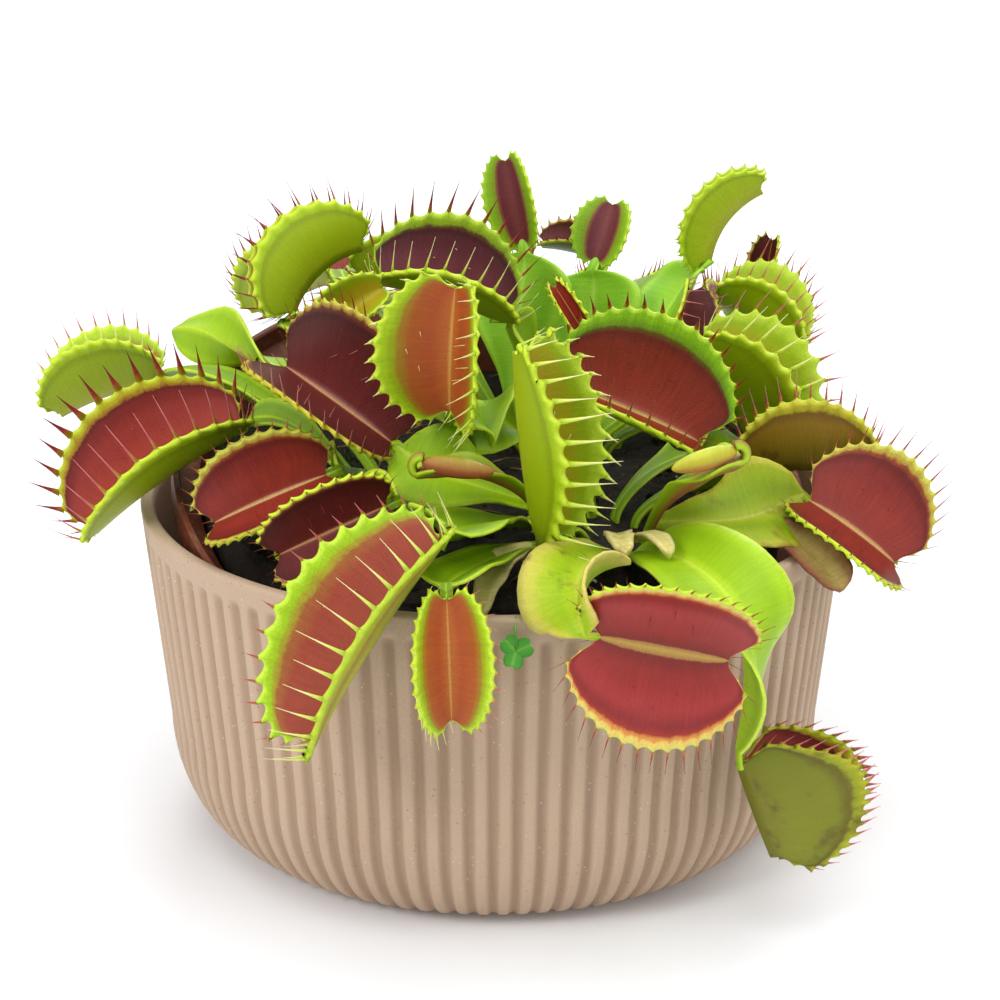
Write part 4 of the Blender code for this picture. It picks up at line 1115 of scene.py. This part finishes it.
    def blade(self, leaf: BladeLeaf, root: tuple[float, float], chance: random.Random) -> bpy.types.Object:
        """A leaf without a trap: a winged stalk that runs out to a blunt tip."""
        tip = Vector(leaf.tip)
        heading = (tip - Vector(leaf.via)).normalized()
        side = heading.cross(Vector(leaf.shows)).normalized()
        stations = self.path(root, leaf.via, tip, side, leaf.shows, self.blade_steps)
        peak = math.log(0.5) / math.log(leaf.widest)

        def width(t: float) -> float:
            """Half width of the blade."""
            return self.neck + (leaf.wing - self.neck) * max(0.0, math.sin(math.pi * t**peak)) ** 0.7

        bm = self.strip([self.stub(stations), *stations], width, chance, wave=0.3)
        return self.piece(leaf.node, bm, (leaf.petiole,), "leaf_plain", leaf.node)

    def scrap(self, item: Scrap, chance: random.Random) -> bpy.types.Object:
        """A withered piece of leaf with a ragged, curled edge."""
        points = [Vector(point) for point in item.points]
        peak = math.log(0.5) / math.log(item.widest)
        stations = []
        for step in range(self.scrap_steps + 1):
            t = step / self.scrap_steps
            ahead = curve_heading(points, t)
            side = ahead.cross(Vector(item.shows)).normalized()
            stations.append(Station(curve_point(points, t), side, side.cross(ahead), t))

        def width(t: float) -> float:
            """Half width, with torn nicks."""
            torn = 0.9 + 0.2 * noise.noise(Vector((t * 5, item.half, 0)))
            return 0.3 + item.half * torn * max(0.0, math.sin(math.pi * t**peak)) ** 0.5

        bm = self.strip(stations, width, chance, item.wave)
        return self.piece(item.name, bm, (item.petiole,), "leaf_plain")

    def clover(self) -> None:
        """A small three-lobed weed at the bowl's rim."""
        bm, layers = self.new_mesh()
        middle = Vector((3.5, -62.0, 54.5))
        view = Vector((0.15, -0.9, 0.4)).normalized()
        side = view.cross(Vector((0, 0, 1))).normalized()
        up = side.cross(view)
        for turn in (20, 130, 250):
            heading = -side * math.cos(math.radians(turn)) + up * math.sin(math.radians(turn))
            cross = heading.cross(view)
            disc = bmesh.ops.create_grid(bm, x_segments=12, y_segments=12, size=1.0)["verts"]
            for vert in disc:
                x, y = vert.co.x, vert.co.y
                u, v = x * math.sqrt(1 - y * y / 2), y * math.sqrt(1 - x * x / 2)
                notch = 0.35 * math.exp(-((v / 0.35) ** 2)) * smooth(u)
                vert[layers["reach"]] = abs(v)
                vert.co = middle + heading * (1.5 + 1.45 * (u - notch)) + cross * v * 1.6
                vert.co += view * (0.5 * abs(v) + 0.3 * u)
        stem = Matrix.Translation(middle + Vector((0, 1.9, 3.2))) @ Matrix.Rotation(-0.55, 4, "X")
        bmesh.ops.create_cone(bm, cap_ends=True, segments=8, radius1=0.2, radius2=0.16, depth=3.4,
                              matrix=stem)
        lobes = [face for face in bm.faces if len(face.verts) == 4 and face.calc_area() < 0.2]
        bmesh.ops.solidify(bm, geom=lobes, thickness=0.25)
        finish_faces(bm)
        self.piece("clover_leaf", bm, (Petiole.CLOVER,), "leaf_plain")

    def build(self) -> None:
        """Grow every leaf."""
        roots = self.roots()
        for number, leaf in enumerate(TRAPS):
            chance = random.Random(SEED + number)
            obj = self.pod(leaf) if leaf.hook else self.trap(leaf, chance)
            self.stalk(leaf, roots[leaf.node], chance)
            LOG.info("%s: %d faces", obj.name, len(obj.data.polygons))
        for number, leaf in enumerate(BLADES):
            self.blade(leaf, roots[leaf.node], random.Random(SEED + 100 + number))
        for number, item in enumerate(SCRAPS):
            self.scrap(item, random.Random(SEED + 150 + number))
        self.clover()


# ---------------------------------------------------------------- bowl, nursery pot and soil


def turned(profile: Sequence[tuple[float, float]], steps: int) -> bmesh.types.BMesh:
    """A bmesh of the (radius, height) profile spun once round Z."""
    bm = bmesh.new()
    verts = [bm.verts.new((radius, 0, z)) for radius, z in profile]
    edges = [bm.edges.new(pair) for pair in zip(verts, verts[1:])]
    bmesh.ops.spin(bm, geom=verts + edges, axis=(0, 0, 1), cent=(0, 0, 0), angle=math.tau, steps=steps,
                   use_merge=True)
    bmesh.ops.remove_doubles(bm, verts=bm.verts, dist=0.0001)
    bmesh.ops.recalc_face_normals(bm, faces=bm.faces)
    return bm


@dataclass
class Bowl:
    """Fluted stoneware bowl."""

    rim_radius: float = 60.0
    height: float = 59.0
    wall: float = 2.4
    taper: float = 0.11
    foot_radius: float = 41.0
    corner: float = 21.0
    floor: float = 4.0
    band: float = 3.5
    flutes: int = 90
    flute_depth: float = 1.0
    scoop: float = 0.56
    per_flute: int = 11
    corner_steps: int = 14
    wall_steps: int = 10

    def radius(self, z: float) -> float:
        """Outer radius at a height."""
        straight = self.rim_radius - self.taper * (self.height - max(z, self.corner))
        if z >= self.corner:
            return straight
        share = (self.corner - z) / self.corner
        return self.foot_radius + (straight - self.foot_radius) * math.sqrt(max(0.0, 1 - share * share))

    def inside_radius(self, z: float) -> float:
        """Inner radius at a height."""
        if z >= self.corner:
            return self.radius(z) - self.wall
        share = (self.corner - z) / (self.corner - self.floor)
        foot = self.foot_radius - self.wall
        top = self.radius(self.corner) - self.wall
        return foot + (top - foot) * math.sqrt(max(0.0, 1 - share * share))

    def groove(self, turn: float) -> float:
        """How deep the flutes are at a bearing, 0 on a rib's crown and 1 at the bottom of a groove."""
        phase = abs((turn / math.tau * self.flutes) % 1.0 - 0.5) * 2
        return max(0.0, 1 - (phase / self.scoop) ** 2)

    def material(self) -> bpy.types.Material:
        """Matte beige stoneware with fine specks, and painted shade that darkens its flute grooves so the
        ribs look paler.
        """
        graph = Graph("stoneware_beige")
        point = graph.place()
        broad = graph.noise(point, 40, 3)
        grain = graph.noise(point, 2600, 3, 0.7)
        colour = graph.ramp(broad, "b79b81 30, c1a68c 70", "LINEAR")
        colour = graph.mix(graph.spread(grain, 0.35, 0.65, 0.0, 0.35), colour, shade("cdb7a3"))
        # Painted shade: each flute groove is darkened towards 866850 by its depth.
        painted_groove_shade = graph.attribute("painted_groove_shade")
        colour = graph.mix(graph.maths("MULTIPLY", painted_groove_shade, 0.42), colour, shade("866850"))
        specks = graph.node("ShaderNodeTexVoronoi", {"Vector": point, "Scale": 900.0}).outputs["Distance"]
        chosen = graph.noise(point, 420, 1)
        disc = graph.spread(specks, 0.12, 0.2, 1.0, 0.0)
        dots = graph.maths("MULTIPLY", disc, graph.spread(chosen, 0.56, 0.6))
        colour = graph.mix(graph.maths("MULTIPLY", dots, 0.4), colour, shade("6b4f3c"))
        disc = graph.spread(specks, 0.1, 0.2, 1.0, 0.0)
        pale = graph.maths("MULTIPLY", disc, graph.spread(chosen, 0.42, 0.38))
        colour = graph.mix(graph.maths("MULTIPLY", pale, 0.5), colour, shade("e2d3c4"))
        graph.bump(graph.maths("ADD", grain, graph.maths("MULTIPLY", broad, 0.3)), 0.35, 0.12)
        return graph.finish(colour, graph.spread(grain, 0.3, 0.7, 0.62, 0.8), Specular_IOR_Level=0.35)

    def build(self) -> bpy.types.Object:
        """Turn the bowl and press its flutes."""
        top = self.height - self.band
        foot = self.foot_radius
        profile = [(0.0, 0.6), (foot - 5, 0.6), (foot - 3.5, 0.0), (foot - 0.8, 0.0)]
        for step in range(1, self.corner_steps + 1):
            z = self.corner * (1 - math.cos(math.pi / 2 * step / self.corner_steps))
            profile.append((self.radius(z), z))
        for step in range(1, self.wall_steps + 1):
            z = self.corner + (top - 3.2 - self.corner) * step / self.wall_steps
            profile.append((self.radius(z), z))
        for z in (top - 2.2, top - 1.5, top - 1.0, top - 0.6, top - 0.3, top, top + 0.6, self.height - 0.8):
            profile.append((self.radius(z), z))
        rim = self.rim_radius
        lip = rim - self.wall
        profile += [(rim - 0.1, self.height - 0.3), (rim - 0.5, self.height), (lip + 0.5, self.height),
                    (lip + 0.1, self.height - 0.3)]
        levels = (57.0, 50.0, 35.0, 21.0, 16.0, 12.0, 9.0, 6.5, 5.0, 4.2)
        profile += [(self.inside_radius(z), z) for z in levels]
        profile += [(self.inside_radius(self.floor) - 1, self.floor), (0.0, self.floor)]
        bm = turned(profile, self.flutes * self.per_flute)
        # Depth of each flute groove, kept for the painted shade in the material.
        painted_groove_shade = bm.verts.layers.float.new("painted_groove_shade")
        for vert in bm.verts:
            radius = math.hypot(vert.co.x, vert.co.y)
            outside = radius > self.foot_radius - 2 and radius > self.inside_radius(vert.co.z) + 1.0
            if not outside:
                continue
            turn = math.atan2(vert.co.y, vert.co.x)
            groove = self.groove(turn)
            end = math.sqrt(smooth((top - 0.2 - vert.co.z) / 2.0)) * smooth((vert.co.z + 0.2) / 1.5)
            vert.co.xy *= (radius - self.flute_depth * groove * end) / radius
            vert[painted_groove_shade] = groove * end
        obj = add_piece("bowl_fluted", bm, [self.material()], "stoneware", "bowl", smooth_all=True)
        LOG.info("%s: %d faces", obj.name, len(obj.data.polygons))
        return obj


@dataclass
class NurseryPot:
    """Round plastic pot that leans forward in the bowl."""

    lean: float = 22.0
    heading: float = 20.0
    radius: float = 54.5
    base_radius: float = 36.0
    depth: float = 45.3
    wall: float = 1.2
    lip: float = 5.0
    height: float = 60.0
    gap: float = 0.3
    steps: int = 144

    def matrix(self) -> Matrix:
        """From the pot's own frame, with its rim at height 0, to the object's."""
        heading = Matrix.Rotation(math.radians(self.heading), 4, "Z")
        lean = heading @ Matrix.Rotation(math.radians(self.lean), 4, "X") @ heading.inverted()
        return Matrix.Translation((0, 0, self.height)) @ lean

    def outer(self, z: float) -> float:
        """Outer radius at a depth below the rim."""
        top = self.radius - self.wall - self.gap
        return top + (top - self.base_radius) * z / self.depth

    def material(self) -> bpy.types.Material:
        """Brown-red moulded plastic with random dusty patches."""
        graph = Graph("terracotta_plastic_worn")
        point = graph.place()
        cloud = graph.noise(point, 90, 4, 0.6)
        dust = graph.noise(point, 420, 4, 0.65)
        colour = graph.ramp(cloud, "5e2a1a 30, 7a3a24 55, 8d4a30 80")
        colour = graph.mix(graph.spread(dust, 0.52, 0.72, 0.0, 0.5), colour, shade("a0765a"))
        graph.bump(dust, 0.4, 0.15)
        return graph.finish(colour, graph.spread(dust, 0.3, 0.7, 0.42, 0.7))

    def build(self) -> bpy.types.Object:
        """Turn the pot with a rolled lip."""
        low = -self.depth
        profile = [(0.0, low + self.wall), (self.outer(low + self.wall) - self.wall, low + self.wall)]
        profile += [(self.outer(-self.lip) - self.wall, -self.lip), (self.radius - self.wall, -self.lip + 1)]
        inner = self.radius - self.wall
        profile += [(inner, -0.3), (inner + 0.3, 0), (self.radius - 0.3, 0)]
        profile += [(self.radius, -0.3), (self.radius, -self.lip), (self.outer(-self.lip), -self.lip)]
        profile += [(self.outer(low), low), (0.0, low)]
        bm = turned(profile, self.steps)
        bmesh.ops.transform(bm, matrix=self.matrix(), verts=bm.verts)
        obj = add_piece("nursery_pot_rim", bm, [self.material()], "terracotta_plastic", "nursery_pot",
                        smooth_all=True)
        obj.data.set_sharp_from_angle(angle=math.radians(40))
        return obj


@dataclass
class Soil:
    """Peat: a crumbly crust over the solid, with clods, roots, moss and perlite."""

    pot: NurseryPot = field(default_factory=NurseryPot)
    ground: Rosette = field(default_factory=Rosette)
    cells: int = 150
    reach: float = 56.0
    clods: int = 420
    grains: int = 60
    rootlets: int = 70
    moss_tufts: int = 900
    thread_rings: int = 5

    def inside(self, point: Vector, margin: float = 0.6) -> bool:
        """Whether a point is inside the leaning pot, or straight above it."""
        local = self.pot.matrix().inverted() @ point
        if local.z > 0:
            limit = self.pot.outer(-self.pot.lip) - self.pot.wall - self.pot.gap
        else:
            limit = self.pot.outer(max(-self.pot.depth, local.z)) - self.pot.wall - self.pot.gap
        return math.hypot(local.x, local.y) < min(limit, self.pot.outer(-self.pot.lip) - 1.5) - margin

    def surface(self, x: float, y: float) -> float:
        """Height of the crust."""
        spot = Vector((x, y, 0))
        rough = 0.9 * noise.fractal(spot * 0.09, 1.0, 2.0, 3) + 0.5 * noise.fractal(spot * 0.45, 1.0, 2.0, 3)
        return self.ground.level(x, y) + 0.7 + rough

    def material(self) -> bpy.types.Material:
        """Nearly black, damp, crumbly peat with brown fibres."""
        graph = Graph("peat_crumbly")
        point = graph.place()
        crumbs = graph.noise(point, 700, 6, 0.75)
        patches = graph.noise(point, 120, 3)
        fibres = graph.noise(graph.place((1, 0.12, 1)), 2200, 3, 0.6)
        colour = graph.ramp(crumbs, "0f0b08 30, 231a12 52, 4a3624 75")
        colour = graph.mix(graph.spread(fibres, 0.62, 0.7, 0.0, 0.5), colour, shade("7a5c3c"))
        colour = graph.mix(graph.spread(patches, 0.5, 0.7, 0.0, 0.4), colour, shade("1c2410"))
        graph.bump(crumbs, 0.9, 1.2)
        return graph.finish(colour, graph.spread(crumbs, 0.3, 0.7, 0.75, 0.98))

    @staticmethod
    def plain(name: str, stops: str, scale: float, roughness: float) -> bpy.types.Material:
        """A simple mottled finish for litter on the soil."""
        graph = Graph(name)
        value = graph.noise(graph.place(), scale, 4, 0.6)
        graph.bump(value, 0.5, 0.2)
        rough = graph.spread(value, 0.3, 0.7, roughness - 0.08, roughness + 0.08)
        return graph.finish(graph.ramp(value, stops), rough)

    def crust(self, finish: bpy.types.Material) -> None:
        """The uneven surface over the soil's solid."""
        bm = bmesh.new()
        bmesh.ops.create_grid(bm, x_segments=self.cells, y_segments=self.cells, size=self.reach)
        for vert in bm.verts:
            vert.co.z = self.ground.level(vert.co.x, vert.co.y)
        outside = [vert for vert in bm.verts if not self.inside(vert.co)]
        bmesh.ops.delete(bm, geom=outside, context="VERTS")
        for vert in bm.verts:
            vert.co.z = self.surface(vert.co.x, vert.co.y)
        lean = self.pot.matrix().to_3x3() @ Vector((0, 0, -3.0))
        grown = bmesh.ops.extrude_face_region(bm, geom=bm.faces[:], use_keep_orig=True)["geom"]
        bmesh.ops.translate(bm, vec=lean, verts=verts_of(grown))
        bmesh.ops.recalc_face_normals(bm, faces=bm.faces)
        add_piece("soil_crust", bm, [finish], "peat", smooth_all=True)

    def spot(self, chance: random.Random, box: tuple[float, float, float, float]) -> Vector | None:
        """A random place on the crust inside a box of x and y, or None where it misses the pot."""
        x, y = chance.uniform(box[0], box[1]), chance.uniform(box[2], box[3])
        place = Vector((x, y, self.surface(x, y)))
        return place if self.inside(place, 1.5) else None

    def scatter(self, name: str, count: int, sizes: tuple[float, float], finish: bpy.types.Material,
                box: tuple[float, float, float, float], seed: int) -> None:
        """Small rough lumps on the crust.

        Args:
            name: name of the piece.
            count: how many lumps are tried.
            sizes: smallest and largest lump.
            finish: its material.
            box: x and y between which the lumps lie.
            seed: seed of the random draws.
        """
        chance = random.Random(seed)
        bm = bmesh.new()
        for _ in range(count):
            place = self.spot(chance, box)
            size = chance.uniform(*sizes)
            turn = Quaternion([chance.random() for _ in range(4)]).normalized()
            if place is None:
                continue
            scale = (size, size * chance.uniform(0.6, 1), size * chance.uniform(0.5, 0.9))
            matrix = Matrix.LocRotScale(place, turn, scale)
            lump = bmesh.ops.create_icosphere(bm, subdivisions=1, radius=1.0, matrix=matrix)["verts"]
            for vert in lump:
                vert.co += (vert.co - place) * 0.35 * noise.noise(vert.co * 1.7)
        add_piece(name, bm, [finish], "peat", smooth_all=True)

    def strands(self, name: str, count: int, length: tuple[float, float], radius: float,
                finish: bpy.types.Material, box: tuple[float, float, float, float], seed: int, rise: float,
                sides: int = 4) -> None:
        """Thin curved threads: rootlets that lie on the crust, or moss that stands on it.

        Args:
            name: name of the piece.
            count: how many threads are tried.
            length: shortest and longest thread.
            radius: radius at the root.
            finish: its material.
            box: x and y between which the threads root.
            seed: seed of the random draws.
            rise: 0 for a lying thread to 1 for an upright one.
            sides: corners of its section.
        """
        chance = random.Random(seed)
        bm = bmesh.new()
        for _ in range(count):
            place = self.spot(chance, box)
            turn, run = chance.uniform(0, math.tau), chance.uniform(*length)
            sway = chance.uniform(-1.2, 1.2)
            if place is None:
                continue
            levels, edges = rod(bm, sides, self.thread_rings)
            bmesh.ops.contextual_create(bm, geom=edges)
            centre = place.copy()
            for step, verts in enumerate(levels):
                t = step / self.thread_rings
                bearing = turn + sway * t
                flat = Vector((math.cos(bearing), math.sin(bearing), 0)) * (1 - rise)
                if step:
                    centre = centre + (flat + Vector((0, 0, rise))) * run / self.thread_rings
                    if rise < 0.5:
                        centre.z = self.surface(centre.x, centre.y) + 0.3 + 0.9 * math.sin(math.pi * t)
                ahead = (flat + Vector((0, 0, rise + 0.01))).normalized()
                side = ahead.cross(Vector((0.3, 0.1, 1))).normalized()
                up = side.cross(ahead)
                thick = radius * (1 - 0.75 * t)
                for vert in verts:
                    vert.co = centre + side * vert.co.x * thick + up * vert.co.y * thick
        bmesh.ops.recalc_face_normals(bm, faces=bm.faces)
        add_piece(name, bm, [finish], "peat", smooth_all=True)

    def build(self) -> None:
        """Dress the soil's solid and lay everything that lies on it."""
        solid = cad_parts["soil"]
        solid.data.materials.clear()
        peat = self.material()
        solid.data.materials.append(peat)
        self.crust(peat)
        whole = (-52.0, 50.0, -52.0, 52.0)
        self.scatter("soil_clods", self.clods, (0.5, 1.5), peat, whole, SEED + 200)
        grain = self.plain("perlite_grain", "c9c2b4 30, e8e4da 70", 900, 0.8)
        self.scatter("perlite_grains", self.grains, (0.3, 0.75), grain, whole, SEED + 201)
        root = self.plain("rootlet_brown", "5a4028 30, 9a7a50 70", 500, 0.7)
        self.strands("rootlets", self.rootlets, (6, 16), 0.22, root, whole, SEED + 202, 0.0)
        moss = self.plain("moss_green", "26340f 30, 46601c 60, 6c8a2c 80", 400, 0.8)
        left = (-50.0, -22.0, -48.0, 10.0)
        self.strands("moss_left", self.moss_tufts, (1.4, 3.2), 0.28, moss, left, SEED + 203, 0.8, 3)
        LOG.info("soil dressed")


# ---------------------------------------------------------------- studio


@dataclass
class Studio:
    """Pale floor, soft boxes and the camera."""

    floor_size: float = 6.0
    distance: float = 0.6
    elevation: float = 20.0
    aim: Point = (0.0011, 0.0, 0.0568)
    lens: float = 126.6
    sensor: float = 36.0
    air: float = 0.42
    lights: tuple[tuple[str, Point, float, float], ...] = (  # name, place, size and watts
        ("top_box", (0.1, -0.3, 1.3), 1.3, 12.0),
        ("key_box", (-0.85, -0.8, 0.85), 0.5, 7.5),
        ("side_box", (1.1, -0.5, 0.7), 0.6, 3.0),
        ("back_box", (0.1, 0.9, 0.7), 0.6, 5.0),
    )

    def floor(self) -> None:
        """A wide white floor."""
        bpy.ops.mesh.primitive_plane_add(size=self.floor_size, location=(0, 0, 0))
        floor = bpy.context.active_object
        floor.name = "studio_floor"
        graph = Graph("studio_white")
        value = graph.noise(graph.place(), 3.0, 2)
        colour = graph.ramp(value, "f3f5f9 30, f5f7fb 70", "LINEAR")
        floor.data.materials.append(graph.finish(colour, 0.9, Specular_IOR_Level=0.1, Emission_Strength=0.05))

    @staticmethod
    def box(name: str, place: Point, size: float, power: float) -> None:
        """One soft box that looks at the plant."""
        data = bpy.data.lights.new(name, "AREA")
        data.shape = "SQUARE"
        data.size = size
        data.energy = power
        obj = bpy.data.objects.new(name, data)
        obj.location = place
        obj.rotation_euler = (Vector((0, 0, 0.06)) - Vector(place)).to_track_quat("-Z", "Y").to_euler()
        bpy.context.scene.collection.objects.link(obj)

    def build(self) -> None:
        """Set the stage, the lights, the camera and the colour of the air."""
        self.floor()
        for light in self.lights:
            self.box(*light)
        world = bpy.data.worlds.new("studio_air")
        world.use_nodes = True
        back = world.node_tree.nodes["Background"]
        back.inputs["Color"].default_value = (1.0, 1.0, 1.0, 1.0)
        back.inputs["Strength"].default_value = self.air
        scene = bpy.context.scene
        scene.world = world
        scene.view_settings.view_transform = "Standard"
        data = bpy.data.cameras.new("camera")
        data.lens = self.lens
        data.sensor_width = self.sensor
        camera = bpy.data.objects.new("camera", data)
        rise = math.radians(self.elevation)
        offset = Vector((0, -math.cos(rise), math.sin(rise))) * self.distance
        camera.location = Vector(self.aim) + offset
        camera.rotation_euler = (-offset).to_track_quat("-Z", "Y").to_euler()
        scene.collection.objects.link(camera)
        scene.camera = camera


# ---------------------------------------------------------------- making


def main() -> None:
    """Build every sub-assembly in order."""
    logging.basicConfig(level=logging.INFO, format="%(message)s")
    Bowl().build()
    NurseryPot().build()
    Soil().build()
    Rosette().build()
    Studio().build()


if __name__ == "__main__":
    main()
